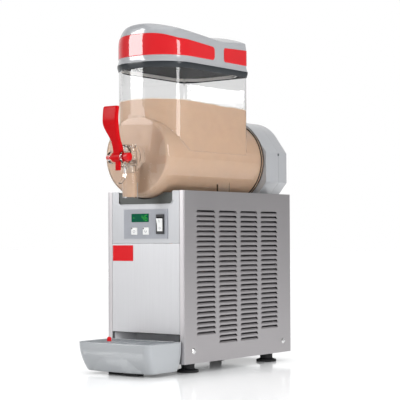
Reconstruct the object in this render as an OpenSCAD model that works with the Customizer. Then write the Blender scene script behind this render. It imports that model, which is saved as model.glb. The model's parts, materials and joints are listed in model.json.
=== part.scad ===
// Countertop slush machine with one clear bowl, in millimetres.
// Heights are measured from the floor and depths from the front of the cabinet.
// placed() then moves every piece so that the origin is on the floor under the middle of the whole.

/* [Cabinet] */
// Width across the side panels
cab_w = 200; // [196:1:240]
// Depth from the front panel to the rear panel
cab_d = 380; // [372:1:440]
// Height of the side panels
cab_h = 345; // [335:1:400]
// Thickness of the sheet metal
sheet = 1.2; // [0.8:0.1:2]
// Width of the side panel's front flange
flange_w = 11.5; // [9:0.5:14]
// Gap between neighbouring panels
panel_gap = 0.5; // [0.3:0.1:1]
// Depth of the returns folded behind the front panels
return_d = 9; // [6:0.5:14]
// Height of the tray opening under the front panels
tray_opening = 59; // [52:1:70]
// Height of the upper front panel
upper_panel_h = 106; // [100:1:120]
// Depth of the tray recess
recess_d = 72; // [66:1:76]
// How far the deck lies below the top of the side panels
deck_drop = 29; // [26:1:34]
// Half-width of the front cut-out under the bowl
cutout_half = 70; // [60:1:76]
// Corner radius of that cut-out
cutout_r = 7; // [4:0.5:10]
// Width of the rolled hem along the cut-out's lower edge
hem_w = 1.6; // [1:0.1:2.5]

/* [Frame and feet] */
// Leg length of a chassis post
post_leg = 16; // [12:1:20]
// Thickness of a chassis post
post_t = 2; // [1.5:0.1:3]
// Height of the base pan's side flanges
pan_flange_h = 31; // [29:1:31]
// Height of the feet
foot_h = 20; // [16:1:30]
// Radius of a foot's pad
foot_pad_r = 22; // [18:0.5:24]
// Radius of a foot's stem
foot_stem_r = 13.5; // [10:0.5:15]
// Thickness of a foot's pad
foot_pad_t = 5; // [3:0.5:8]
// Radius of a foot's stud
stud_r = 4; // [3:0.5:5]
// Distance of the feet from the side panels
foot_side = 31; // [28:1:40]
// Distance of the feet from the front and the rear
foot_end = 50; // [36:1:70]
// Radius of a side screw's shank
screw_r = 2; // [1.5:0.1:2.5]
// Radius of the cup washer under a side screw
washer_r = 6.2; // [5:0.1:8]
// Distance of the side screws from the front and the rear
screw_end = 30; // [26:1:34]
// Height of the side screws above the cabinet's lower edge
screw_up = 25; // [20:1:27]

/* [Louvres] */
// Length of a louvre
louvre_l = 64; // [50:1:68]
// Height of a louvre's opening
louvre_h = 6.2; // [5:0.1:7]
// How far a louvre's flap leans in
louvre_in = 4.4; // [3:0.1:5]
// Height of that flap
louvre_flap = 3.8; // [3:0.1:4.5]
// Distance from one column to the next
louvre_step_y = 75.5; // [72:0.5:80]
// Distance from one row to the next
louvre_step_z = 10.2; // [9:0.1:11]
// Distance of the first column from the front
louvre_front = 39.5; // [36:0.5:44]
// Distance of the lowest row from the panel's lower edge
louvre_up = 34.6; // [33:0.1:40]
// Rows in each column, front to rear
louvre_rows = [25, 27, 27, 25]; // [1:1:27]

/* [Controls] */
// Width of the control plate
ctl_w = 114; // [108:1:130]
// Height of the control plate
ctl_h = 59.6; // [56:0.1:60]
// Thickness of the control plate
ctl_t = 1.5; // [1:0.1:2]
// Distance of the plate's top from the top of the cabinet
ctl_down = 36.4; // [34:0.1:38]
// Sideways place of the plate's middle
ctl_x = 1.5; // [-4:0.1:4]
// Width of the display
display_w = 46; // [40:0.5:50]
// Height of the display
display_h = 17.2; // [14:0.1:18]
// Width of a button
button_w = 16; // [12:0.1:17]
// Height of a button
button_h = 15.3; // [12:0.1:16]
// How far a button stands before the plate
button_out = 1.8; // [1.2:0.1:3]
// Clearance round the display and the buttons
ctl_gap = 0.3; // [0.2:0.05:0.4]
// Distance of the circuit board behind the plate
board_back = 9; // [8:0.5:12]
// Thickness of the circuit board
board_t = 1.6; // [1:0.1:2]
// Width of the rocker switch's bezel
bezel_w = 19.4; // [18.5:0.1:21]
// Height of the rocker switch's bezel
bezel_h = 39.3; // [36:0.1:42]
// How far the bezel stands before the plate
bezel_out = 2.6; // [2:0.1:3.5]
// Width of the rocker
rocker_w = 13.6; // [12:0.1:14]
// Half-height of the rocker
rocker_half = 13; // [11.5:0.1:13.5]
// Tilt of the rocker to each side
rocker_tilt = 8; // [6:0.5:9]
// Width of the plain red plate on the lower panel
badge_w = 53.6; // [40:0.1:60]
// Height of the plain red plate
badge_h = 32; // [25:0.1:40]
// Thickness of the plain red plate
badge_t = 0.8; // [0.5:0.1:1.5]

/* [Bowl] */
// Outer radius of the bowl's barrel
bowl_r = 85; // [82:0.5:87]
// Wall thickness of the bowl
bowl_wall = 3; // [2.5:0.1:4]
// Height of the barrel's axis above the cabinet's top
bowl_up = 71; // [68:1:80]
// How far the barrel's front disc stands before the cabinet
bowl_front = 28; // [24:1:34]
// Radius of the barrel's flat front disc
face_r = 78; // [74:0.5:80]
// Length of the curve from the disc to the barrel
nose_l = 30; // [20:1:40]
// Distance of the bowl's rear end from the cabinet's front
bowl_rear = 297; // [288:1:300]
// Length and height of the barrel's rear flange
bowl_flange = [7, 3]; // [2:0.5:9]
// How far the tank's front wall stands before the cabinet
tank_front = 27.5; // [22:0.5:27.5]
// Distance of the tank's rear wall from the cabinet's front
tank_rear = 244; // [230:1:252]
// Height of the tank's rim above the barrel's axis
tank_h = 184; // [170:1:200]
// Radius of the tank's front corners
tank_front_r = 72; // [60:1:76]
// Radius of the tank's rear corners
tank_rear_r = 10; // [6:1:16]
// Height of the slush above the barrel's axis
slush_h = 110; // [96:1:140]
// Thickness of the bowl gasket
gasket_t = 3; // [2:0.5:4]
// Width of the bowl gasket
gasket_w = 13; // [11:0.5:16]

/* [Tap] */
// Distance of the spout's axis before the bowl's front disc
spout_out = 19; // [17:0.5:24]
// Outer radius of the spout
spout_r = 13; // [12.8:0.1:15]
// Radius of the spout's bore
spout_bore = 10; // [9:0.1:10.3]
// Radius of the collar round the spout's mouth
collar_r = 15.5; // [14:0.1:18]
// Height of that collar
collar_h = 31; // [24:1:36]
// Depth of the spout's mouth below the pivot
spout_down = 80; // [72:1:82]
// Height of the tap body above the pivot
tap_top = 27; // [25:0.5:32]
// Radius of the round boss between the disc and the spout
boss_r = 22; // [20:0.5:24]
// Distance of the pivot before the spout's axis
pivot_out = 36; // [34:0.5:40]
// Height of the pivot below the barrel's axis
pivot_down = 6; // [2:0.5:10]
// Radius of the pivot pin
pin_r = 4; // [3:0.1:4.5]
// Radius and length of the pin's head
pin_head = [9.3, 12]; // [8:0.1:14]
// How far the pin's plain end stands out of the tap
pin_tail = 11; // [6:0.5:14]
// Thickness of the tap's ears
ear_t = 6; // [5:0.1:7]
// Radius of the ears round the pin
ear_r = 12; // [10.5:0.1:13]
// Radius of the lever's hub
hub_r = 9.5; // [8:0.1:10]
// Radius of the outlet from the bowl into the spout
outlet_r = 5; // [4:0.1:5.2]
// Depth of the outlet below the pivot
outlet_down = 20; // [19:0.5:21]
// Length of the lever's arm from the pivot to the piston
arm_l = 29; // [28:0.5:30]
// Swing of the lever from closed to open
lever_swing = 28; // [24:1:30]
// Height of the lever's top above the pivot
lever_h = 100; // [90:1:120]
// How far the lever leans forward
lever_lean = 23; // [16:1:30]
// Width of the lever's hub
hub_w = 24; // [23.5:0.5:25]
// Width of the lever's stem
stem_w = 22.5; // [18:0.5:23]
// Width of the lever's paddle
paddle_w = 35; // [28:0.5:44]
// Thickness of the lever's stem
stem_t = 12; // [9:0.5:14]
// Thickness of the lever's paddle
paddle_t = 9.5; // [8:0.5:12]
// Length of the lever's tail below the pivot
lever_tail = 26; // [20:0.5:27]
// Clearance between the lever and the tap body
tap_gap = 0.6; // [0.4:0.1:1]

/* [Lid] */
// How far the lid overhangs the tank
lid_over = 3.6; // [3:0.1:6]
// Thickness of the lid base's plate
lid_plate_t = 4; // [3:0.5:6]
// Height of the skirt round the tank's rim
lid_skirt = 5.5; // [4:0.5:9]
// Height of the lip inside the tank's rim
lid_lip = 10; // [6:0.5:14]
// Thickness of the skirt and of the lip
lid_wall = 2.7; // [2:0.1:3.2]
// Clearance between the lid and the tank's rim
lid_gap = 0.4; // [0.3:0.1:0.8]
// How far the shell's wall stands out from the tank
lid_wall_out = 0.6; // [0.2:0.1:1]
// Height of the curve from the shell's wall out to its foot
flare_h = 12; // [8:0.5:12.5]
// Height of the shell at its crown
lid_h = 82.5; // [76:0.5:95]
// Fall of the shell's top from its middle to its sides
lid_camber = 18.5; // [10:0.5:20]
// Fall of the shell's top from its crown to the front
lid_fall = 3.5; // [0:0.5:5]
// Fall of the shell's top from its crown to the rear
lid_dip = 11.5; // [6:0.5:14]
// Rise of the shell's top at the rear
lid_rise = 8; // [4:0.5:10]
// Width and height of the rounded shoulder at the front
shoulder_front = [14, 34]; // [10:0.5:34]
// Width and height of the rounded shoulder at the rear
shoulder_rear = [3, 18]; // [2:0.5:20]
// Wall thickness of the shell
shell_wall = 4; // [3:0.5:6]
// Depth of the pocket under the shell
shell_pocket = 34; // [24:1:38]
// Thickness of the red band and rear plates
band_t = 1; // [0.6:0.1:2]
// Rear end of the red band
band_end = 123; // [100:1:140]
// Front end of the red rear plates
plate_start = 156; // [145:1:180]

/* [Drive] */
// Radius of the evaporator drum
drum_r = 48; // [44:1:54]
// Distance of the drum's front from the cabinet's front
drum_front = 58; // [54:1:70]
// Radius of the drive shaft
shaft_r = 8; // [6:0.5:9]
// Running clearance of the shafts and pins
run_gap = 0.1; // [0.05:0.01:0.15]
// Outer radius of the auger
auger_r = 76; // [72:0.5:77]
// Width of the auger's blade
auger_w = 12; // [8:0.5:16]
// Thickness of the auger's blade
auger_t = 5; // [3:0.5:7]
// Turns of the auger's blade
auger_turns = 2.5; // [1.5:0.5:4]
// Clearance between the auger and the slush round it
auger_gap = 1.5; // [1:0.1:2]
// Wall thickness of the drive cover
cover_wall = 3; // [2:0.1:4]
// Distance of the drive cover's sides from the side panels
cover_side = 8; // [6:0.5:12]
// Radius of the drive cover's round top
cover_r = 80; // [76:0.5:84]
// Depth of the cover's rear half
cover_rear_d = 32; // [24:1:36]
// Seam between the cover's halves
seam = 0.5; // [0.3:0.1:1]
// Thickness of the drive bracket
bracket_t = 4; // [3:0.5:6]

/* [Drip tray] */
// Distance of the tray's sides from the cabinet's sides
tray_side = 6.5; // [4:0.5:10]
// Depth of the tray
tray_d = 105; // [90:1:125]
// Height of the tray
tray_h = 58; // [50:1:60]
// Height of the tray's bottom above the floor
tray_up = 6.5; // [4:0.5:9]
// Wall thickness of the tray's rim
tray_wall = 2; // [1.6:0.1:3]
// How far the tray's front draws back towards its bottom
tray_rake = 20; // [12:1:26]
// How far the tray's sides draw in towards its bottom
tray_taper = 6; // [2:0.5:9]
// Radius of the tray's front corners
tray_r = 16; // [8:1:24]
// Gap between the tray and the cabinet
tray_gap = 0.8; // [0.5:0.1:1.5]
// Thickness of the grille
grille_t = 3.2; // [2.5:0.1:4]
// Depth of the grille below the tray's rim
grille_down = 0.8; // [0.4:0.1:1.5]
// Width of the ledge that carries the grille
ledge_w = 2.5; // [1.5:0.1:4]
// Slots across and along the grille
slot_count = [3, 9]; // [2:1:12]
// Width of a slot
slot_w = 4.6; // [3:0.1:6]
// Radius of the float's stem
float_r = 4.5; // [3.5:0.1:6]
// How far the float stands above the grille
float_out = 9; // [6:0.5:14]

/* [Cooling] */
// Radius of the compressor
comp_r = 58; // [50:1:62]
// Height of the compressor
comp_h = 146; // [120:1:170]
// Distance of the compressor's axis from the front
comp_y = 140; // [138:1:144]
// Height of the compressor grommets
grommet_h = 12; // [10:0.5:16]
// Distance of the condenser from the side panels
cond_side = 25; // [20:1:40]
// Depth of the condenser
cond_d = 40; // [30:1:44]
// Height of the condenser
cond_h = 230; // [180:1:240]
// Gap between the condenser and the rear panel
cond_back = 40; // [36:1:50]
// Number of condenser fins
fin_count = 24; // [12:1:30]
// Radius of the fan
fan_r = 64; // [50:1:66]
// Number of fan blades
blade_count = 5; // [3:1:7]
// Radius of the refrigerant pipes
pipe_r = 4; // [3:0.5:4.5]
// How far the cord gland stands out of the rear panel
gland_out = 7; // [5:0.5:12]

/* [Hidden] */
$fn = 96;
over = 1;

// Colours of the materials
steel = "#b9bbbe";
dull_steel = "#8f9296";
light_grey = "#c8cace";
tray_grey = "#b3b6b8";
red = "#e02030";
black = "#1b1c1e";
dark = "#34383c";
white = "#f2f2f0";
clear = "#dfe8ea80";
beige = "#c8a68a";
green = "#39e05a";
copper = "#b87333";

// Levels and places worked out from the driving sizes
half_w = cab_w / 2;
inner_x = half_w - sheet;
cab_z = foot_h;
cab_top = cab_z + cab_h;
pan_top = cab_z + sheet;
deck_z = cab_top - deck_drop;
cutout_z = deck_z + 3;
panel_half = half_w - flange_w - panel_gap;
split_z = cab_top - upper_panel_h;
lower_z = cab_z + tray_opening;
screw_z = cab_z + screw_up;
axis_z = cab_top + bowl_up;
ctl_z = cab_top - ctl_down - ctl_h / 2;
rim_z = axis_z + tank_h;
shell_z = rim_z + lid_plate_t;
slush_z = axis_z + slush_h;
tank_half = bowl_r - 0.6;
spout_y = -bowl_front - spout_out;
pivot_y = spout_y - pivot_out;
pivot_z = axis_z - pivot_down;
spout_z = pivot_z - spout_down;
outlet_z = pivot_z - outlet_down;
hub_half = hub_w / 2;
ear_in = hub_half + tap_gap;
ear_out = ear_in + ear_t;
arm_rest = -lever_swing / 2;
notch_y = pivot_y + arm_l * cos(arm_rest);
notch_z = pivot_z + arm_l * sin(arm_rest);
cover_y = bowl_rear + gasket_t;
bracket_y = cover_y + cover_wall;
gear_y = bracket_y + bracket_t;
seam_y = cab_d - cover_rear_d;
cover_half = half_w - cover_side;
tray_top = tray_up + tray_h;
tray_half = half_w - tray_side;
cond_y = cab_d - cond_back - cond_d;
fan_z = pan_top + cond_h / 2 + 8;
front_reach = pivot_out + spout_out + bowl_front + lever_lean + paddle_t / 2;
rear_reach = cab_d + gland_out;
origin_y = (rear_reach - front_reach) / 2;

module placed() {
    translate([0, -origin_y, 0]) children();
}

// Shapes that repeat

function ease(t) = let (c = min(max(t, 0), 1)) c * c * (3 - 2 * c);

function arc(centre, r, from, to, steps) =
    [for (i = [0:steps]) let (a = from + (to - from) * i / steps) centre + r * [cos(a), sin(a)]];

function between(p, q, steps) = [for (i = [1:steps - 1]) p + (q - p) * i / steps];

// Rounded outline seen from above, anticlockwise from the right end of its front; its rear is
// bowed a little
function plan(half, front, rear, front_r, rear_r) = let (
        bow = 0.5,
        end = half - rear_r,
        right = concat(
            arc([half - front_r, front + front_r], front_r, -90, 0, 12),
            between([half, front + front_r], [half, rear - rear_r], 10),
            arc([end, rear - rear_r], rear_r, 0, 90, 5),
            [for (share = [0.75, 0.5, 0.25]) [end * share, rear + bow * (1 - share * share)]]))
    concat(right, [for (i = [len(right) - 1:-1:0]) [-right[i][0], right[i][1]]]);

// Outline of the tank, moved outwards by out
function tank_plan(out) = plan(tank_half + out, -tank_front - out, tank_rear + out,
    max(tank_front_r + out, 2), max(tank_rear_r + out, 2));

// Faces that close a ring of n points straight across, from one side to the other
function end_faces(n) = [for (i = [0:n / 2 - 2], half = [0, 1])
    let (a = i, b = i + 1, c = n - i - 2, d = n - i - 1)
    half == 0 ? [a, b, c] : [a, c, d]];

// Solid through a stack of rings with equal, even numbers of points
module loft(rings) {
    n = len(rings[0]);
    last = (len(rings) - 1) * n;
    sides = [for (k = [0:len(rings) - 2], i = [0:n - 1], half = [0, 1])
        let (j = (i + 1) % n, a = k * n + i, b = a + n, c = (k + 1) * n + j, d = k * n + j)
        half == 0 ? [a, b, c] : [a, c, d]];
    low_end = end_faces(n);
    high_end = [for (f = low_end) [last + f[2], last + f[1], last + f[0]]];
    polyhedron([for (r = rings) each r], concat(sides, low_end, high_end));
}

module block(low, high) {
    translate(low) cube(high - low);
}

// Block that is as wide on the left as on the right
module slab(half, y0, y1, z0, z1) {
    block([-half, y0, z0], [half, y1, z1]);
}

module both_sides() {
    children();
    mirror([1, 0, 0]) children();
}

module bar_x(r, x0, x1, y, z) {
    translate([x0, y, z]) rotate([0, 90, 0]) cylinder(r = r, h = x1 - x0);
}

module bar_y(r, y0, y1, x, z) {
    translate([x, y0, z]) rotate([-90, 0, 0]) cylinder(r = r, h = y1 - y0);
}

module bar_z(r, z0, z1, x, y) {
    translate([x, y, z0]) cylinder(r = r, h = z1 - z0);
}

// Outline in depth and height, extruded sideways
module prism_x(points, x0, x1) {
    translate([x0, 0, 0]) rotate([90, 0, 90]) linear_extrude(x1 - x0) polygon(points);
}

// Outline in width and height, extruded in depth
module prism_y(points, y0, y1) {
    translate([0, y1, 0]) rotate([90, 0, 0]) linear_extrude(y1 - y0) polygon(points);
}

module prism_z(points, z0, z1) {
    translate([0, 0, z0]) linear_extrude(z1 - z0) polygon(points);
}

// Profile of radius and depth, turned about the barrel's axis
module turned(profile) {
    translate([0, 0, axis_z]) rotate([-90, 0, 0]) rotate_extrude() polygon(profile);
}

module at_feet() {
    for (x = [-1, 1], y = [foot_end, cab_d - foot_end])
        translate([x * (half_w - foot_side), y, 0]) children();
}

// Places of the side screws on the right panel, with the screw's axis along x
module at_side_screws() {
    for (y = [screw_end, cab_d - screw_end])
        translate([half_w, y, screw_z]) rotate([0, 90, 0]) children();
}

// Cabinet

module base_pan() {
    stud_gap = 0.3;
    color(dull_steel) placed() difference() {
        union() {
            slab(inner_x, sheet, cab_d - sheet, cab_z, pan_top);
            both_sides() block([inner_x - sheet, sheet + post_leg, cab_z],
                [inner_x, cab_d - sheet - post_leg, cab_z + pan_flange_h]);
        }
        at_feet() bar_z(stud_r + stud_gap, cab_z - over, pan_top + over, 0, 0);
        both_sides() at_side_screws()
            translate([0, 0, -3 * sheet]) cylinder(r = screw_r + stud_gap, h = 3 * sheet);
    }
}

module feet() {
    stud_up = 8;
    neck = foot_pad_t + 2;
    color(black) placed() at_feet() rotate_extrude() polygon([
        [0, 0], [foot_pad_r - 1, 0], [foot_pad_r, 1], [foot_pad_r, foot_pad_t - 1],
        [foot_pad_r - 1, foot_pad_t], [foot_stem_r + 1, neck], [foot_stem_r, neck + 1],
        [foot_stem_r, foot_h], [stud_r, foot_h], [stud_r, pan_top + stud_up],
        [0, pan_top + stud_up]]);
}

// Side panel on the right: a sheet with a front flange, and rows of louvres whose flaps are pressed
// in from the sheet and close it at their sides and below
module side_panel() {
    screw_gap = 0.3;
    skin = half_w - sheet / 2;
    top_row = cab_z + louvre_up + (max(louvre_rows) - 1) * louvre_step_z;
    difference() {
        union() {
            prism_z([[half_w, 0], [half_w, cab_d], [inner_x, cab_d], [inner_x, sheet],
                [half_w - flange_w, sheet], [half_w - flange_w, 0]], cab_z, cab_top);
            for (c = [0:len(louvre_rows) - 1], r = [0:louvre_rows[c] - 1]) {
                y = louvre_front + c * louvre_step_y;
                z = top_row - r * louvre_step_z;
                prism_y([[skin, z], [skin, z + louvre_flap],
                    [inner_x - louvre_in, z + louvre_flap]], y, y + louvre_l);
            }
        }
        for (c = [0:len(louvre_rows) - 1], r = [0:louvre_rows[c] - 1]) {
            y = louvre_front + c * louvre_step_y;
            z = top_row - r * louvre_step_z;
            prism_y([[half_w + over, z], [half_w + over, z + louvre_h], [half_w - louvre_in, z + louvre_h],
                [half_w - louvre_in, z + louvre_flap], [half_w, z]], y + sheet, y + louvre_l - sheet);
        }
        at_side_screws()
            translate([0, 0, -sheet - over]) cylinder(r = screw_r + screw_gap, h = sheet + 2 * over);
    }
}

module side_panel_right() {
    color(steel) placed() side_panel();
}

module side_panel_left() {
    color(steel) placed() mirror([1, 0, 0]) side_panel();
}

module side_panel_screws() {
    head_r = 3.6;
    shank = 2 * sheet + 5;
    color(steel) placed() both_sides() at_side_screws() rotate_extrude() polygon([
        [0, -shank], [screw_r, -shank], [screw_r, 0], [washer_r, 0], [washer_r, 0.6],
        [head_r + 0.6, 1.8], [head_r, 1.8], [head_r - 0.5, 2.9], [screw_r, 3.4], [0, 3.5]]);
}

// Front panel between two heights, with returns folded back along its sides
module front_sheet(z0, z1) {
    slab(panel_half, 0, sheet, z0, z1);
    both_sides() block([panel_half - sheet, 0, z0], [panel_half, return_d, z1]);
}

// Opening behind the control plate
module control_window() {
    margin = 5;
    block([ctl_x - ctl_w / 2 + margin, -over, ctl_z - ctl_h / 2 + margin],
        [ctl_x + ctl_w / 2 - margin, sheet + over, ctl_z + ctl_h / 2 - margin]);
}

// Path along the cut-out's lower edge and its corners, moved outwards by out
function cutout_path(out) = let (x = cutout_half - cutout_r, z = cutout_z + cutout_r, r = cutout_r + out)
    concat(arc([-x, z], r, 180, 270, 6), arc([x, z], r, 270, 360, 6));

module front_panel_upper() {
    high = cab_top + over;
    hem = cutout_path(hem_w);
    color(steel) placed() {
        difference() {
            front_sheet(split_z + panel_gap, cab_top);
            control_window();
            prism_y(concat(cutout_path(0), [[cutout_half, high], [-cutout_half, high]]),
                -over, sheet + over);
        }
        prism_y(concat(cutout_path(0), [for (i = [len(hem) - 1:-1:0]) hem[i]]), -sheet, sheet / 2);
    }
}

module front_panel_lower() {
    color(white) placed() front_sheet(lower_z, split_z);
}

module top_deck() {
    rim_drop = 3;
    bowl_gap = 2;
    upstand_half = cutout_half + 6;
    color(steel) placed() difference() {
        union() {
            slab(inner_x, sheet, cab_d - sheet, deck_z - sheet, deck_z);
            both_sides() block([inner_x - sheet, sheet, deck_z],
                [inner_x, cab_d - sheet, cab_top - rim_drop]);
            slab(upstand_half, sheet, 2 * sheet, deck_z - sheet, cab_top - rim_drop);
        }
        bar_y(bowl_r + bowl_gap, 0, cab_d, 0, axis_z);
        bar_z(2 * pipe_r, deck_z - sheet - over, deck_z + over, suction_x, suction_y);
        both_sides() block([panel_half - sheet - panel_gap, sheet - over, deck_z - sheet - over],
            [panel_half + panel_gap, return_d + panel_gap, deck_z + over]);
    }
}

module rear_panel() {
    vent = [60, 5];
    vent_step = 12;
    vent_rows = 14;
    vent_z = cab_z + 90;
    color(steel) placed() difference() {
        slab(inner_x, cab_d - sheet, cab_d, cab_z, deck_z);
        both_sides() for (i = [0:vent_rows - 1])
            block([10, cab_d - sheet - over, vent_z + i * vent_step],
                [10 + vent[0], cab_d + over, vent_z + i * vent_step + vent[1]]);
        bar_y(gland_r + gland_gap, cab_d - sheet - over, cab_d + over, gland_x, gland_z);
    }
}

gland_r = 8;
gland_gap = 0.3;
gland_x = half_w - 40;
gland_z = cab_z + 40;

module cord_gland() {
    collar = 3;
    inside = 12;
    color(black) placed() difference() {
        union() {
            bar_y(gland_r + collar, cab_d, cab_d + gland_out, gland_x, gland_z);
            bar_y(gland_r, cab_d - inside, cab_d, gland_x, gland_z);
        }
        bar_y(gland_r / 2, cab_d - inside - over, cab_d + gland_out + over, gland_x, gland_z);
    }
}

module chassis_posts() {
    front = sheet;
    rear = cab_d - sheet;
    z1 = deck_z - sheet;
    color(dull_steel) placed() both_sides() {
        prism_z([[inner_x, front], [inner_x, front + post_leg], [inner_x - post_t, front + post_leg],
            [inner_x - post_t, front + post_t], [panel_half, front + post_t], [panel_half, front]],
            pan_top, z1);
        prism_z([[inner_x, rear], [inner_x - post_leg, rear], [inner_x - post_leg, rear - post_t],
            [inner_x - post_t, rear - post_t], [inner_x - post_t, rear - post_leg],
            [inner_x, rear - post_leg]], pan_top, z1);
    }
}

module recess_liner() {
    half = panel_half - sheet - panel_gap;
    top = lower_z - panel_gap;
    color(dark) placed() difference() {
        slab(half, sheet, recess_d, pan_top, top);
        slab(half - sheet, sheet - over, recess_d - sheet, pan_top - over, top - sheet);
    }
}

// Controls

// Places on the control plate, from its middle
display_at = [-13.85, 12.3];
button_left_at = [-28.95, -14.45];
button_right_at = [1.65, -14.45];
rocker_at = [39.2, -0.9];
body_wall = 0.9;
body_w = rocker_w + 0.8 + 2 * body_wall;
rocker_room = 3;
body_h = 2 * rocker_half + rocker_room + 2 * body_wall;
body_d = 14;
rocker_axle_r = 1.5;
rocker_depth = 3.5;
rocker_y = rocker_depth - ctl_t;

// Block on the control plate, centred at a place and w wide and h high
module control_block(at, w, h, y0, y1) {
    block([ctl_x + at[0] - w / 2, y0, ctl_z + at[1] - h / 2],
        [ctl_x + at[0] + w / 2, y1, ctl_z + at[1] + h / 2]);
}

module control_plate() {
    body_gap = 0.3;
    color(light_grey) placed() difference() {
        control_block([0, 0], ctl_w, ctl_h, -ctl_t, 0);
        control_block(display_at, display_w, display_h, -ctl_t - over, over);
        for (at = [button_left_at, button_right_at])
            control_block(at, button_w, button_h, -ctl_t - over, over);
        control_block(rocker_at, body_w + 2 * body_gap, body_h + 2 * body_gap, -ctl_t - over, over);
    }
}

module display_window() {
    color(green) placed() control_block(display_at, display_w - 2 * ctl_gap,
        display_h - 2 * ctl_gap, -ctl_t, board_back);
}

// Push button: a cap in the plate's hole and a flange behind it that keeps it in
module push_button(at) {
    flange = [2, 1.5];
    stem = [6, 6.5];
    w = button_w - 2 * ctl_gap;
    h = button_h - 2 * ctl_gap;
    control_block(at, w, h, -ctl_t - button_out, ctl_gap + flange[1]);
    control_block(at, w + flange[0], h + flange[0], ctl_gap, ctl_gap + flange[1]);
    control_block(at, stem[0], stem[0], ctl_gap, stem[1]);
}

module button_left() {
    color(white) placed() push_button(button_left_at);
}

module button_right() {
    color(white) placed() push_button(button_right_at);
}

module rocker_bezel() {
    axle_gap = 0.1;
    x = ctl_x + rocker_at[0];
    z = ctl_z + rocker_at[1];
    color(black) placed() difference() {
        union() {
            control_block(rocker_at, bezel_w, bezel_h, -ctl_t - bezel_out, -ctl_t);
            control_block(rocker_at, body_w, body_h, -ctl_t - over, body_d);
        }
        control_block(rocker_at, body_w - 2 * body_wall, body_h - 2 * body_wall,
            -ctl_t - bezel_out - over, body_d - 2 * body_wall);
        bar_x(rocker_axle_r + axle_gap, x - body_w, x + body_w, rocker_y, z);
    }
}

module rocker_switch() {
    end_out = 4.4;
    dish = 3;
    back = 2.6;
    x = ctl_x + rocker_at[0];
    color(white) placed() translate([0, rocker_y, ctl_z + rocker_at[1]])
        rotate([rocker_tilt, 0, 0]) translate([0, -rocker_depth, 0]) {
            prism_x([[-end_out, rocker_half], [-dish, 0], [-end_out, -rocker_half],
                [back, 2 - rocker_half], [back + 3, 0], [back, rocker_half - 2]],
                x - rocker_w / 2, x + rocker_w / 2);
            bar_x(rocker_axle_r, x - body_w / 2, x + body_w / 2, rocker_depth, 0);
        }
}

module badge_plate() {
    margin = 1.8;
    top = split_z - 3.4;
    color(red) placed() block([margin - panel_half, -badge_t, top - badge_h],
        [margin - panel_half + badge_w, 0, top]);
}

module control_board() {
    x0 = ctl_x - ctl_w / 2 + 7;
    x1 = ctl_x + rocker_at[0] - body_w / 2 - 2;
    z0 = ctl_z - ctl_h / 2 + 6.5;
    z1 = ctl_z + ctl_h / 2 - 6.5;
    post_r = 1.6;
    switch_h = 1.2;
    color("#1f5a3a") placed() {
        block([x0, board_back, z0], [x1, board_back + board_t, z1]);
        for (x = [x0 + 2, x1 - 2], z = [z0 + 2, z1 - 2])
            bar_y(post_r, 0, board_back, x, z);
        for (at = [button_left_at, button_right_at])
            control_block(at, 5, 5, board_back - switch_h, board_back);
        control_block([-14, 0], 30, 8, board_back + board_t, board_back + board_t + 6);
    }
}

// Bowl and tap

// Radius and depth along the barrel's front curve, drawn in by inset
function nose(inset) = [for (a = [0:15:90])
    [face_r - inset + (bowl_r - face_r) * sin(a), inset - bowl_front + nose_l * (1 - cos(a))]];

module barrel(inset, rear) {
    turned(concat([[0, inset - bowl_front]], nose(inset), [[bowl_r - inset, rear], [0, rear]]));
}

// Height of the barrel's underside at a distance from the middle
function barrel_low(x) = axis_z - sqrt(pow(bowl_r, 2) - pow(x, 2));

// Tabs that carry the barrel on the deck
module bowl_tabs() {
    tab_x = [66, 70];
    tab_y = [154, 195];
    bite = bowl_wall / 2;
    both_sides() prism_y([[tab_x[0], deck_z], [tab_x[1], deck_z],
        [tab_x[1], barrel_low(tab_x[1]) + bite], [tab_x[0], barrel_low(tab_x[0]) + bite]],
        tab_y[0], tab_y[1]);
}

module tap_body() {
    strut = bowl_front - bowl_wall / 2;
    bar_y(boss_r, spout_y + spout_r / 2, -strut, 0, pivot_z + 3);
    bar_z(spout_r, spout_z, pivot_z + tap_top, 0, spout_y);
    bar_z(collar_r, spout_z, spout_z + collar_h, 0, spout_y);
    slab(spout_r / 4, spout_y, -strut, spout_z + collar_h, pivot_z);
    both_sides() {
        block([ear_in, pivot_y, pivot_z - ear_r], [ear_out, spout_y + spout_r, pivot_z + ear_r]);
        bar_x(ear_r, ear_in, ear_out, pivot_y, pivot_z);
    }
    slab(ear_out, spout_y - spout_r / 4, spout_y + spout_r, pivot_z - ear_r, pivot_z + ear_r);
    finger();
}

// Springy finger below the lever: it leaves the spout, hangs down and hooks forward at its end
module finger() {
    t = 1.6;
    half = 4;
    bend = 24;
    stand_off = 4;
    centre = [spout_y - spout_r - stand_off - t - bend, pivot_z - 30];
    outer = arc(centre, bend + t, 20, -60, 8);
    inner = arc(centre, bend, -60, 20, 8);
    root = spout_y - spout_r / 2;
    top = outer[0][1] + t;
    prism_x(concat([[root, top], [root, top - 2 * t]], outer, inner, [[inner[8][0], top]]),
        -half, half);
}

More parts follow.
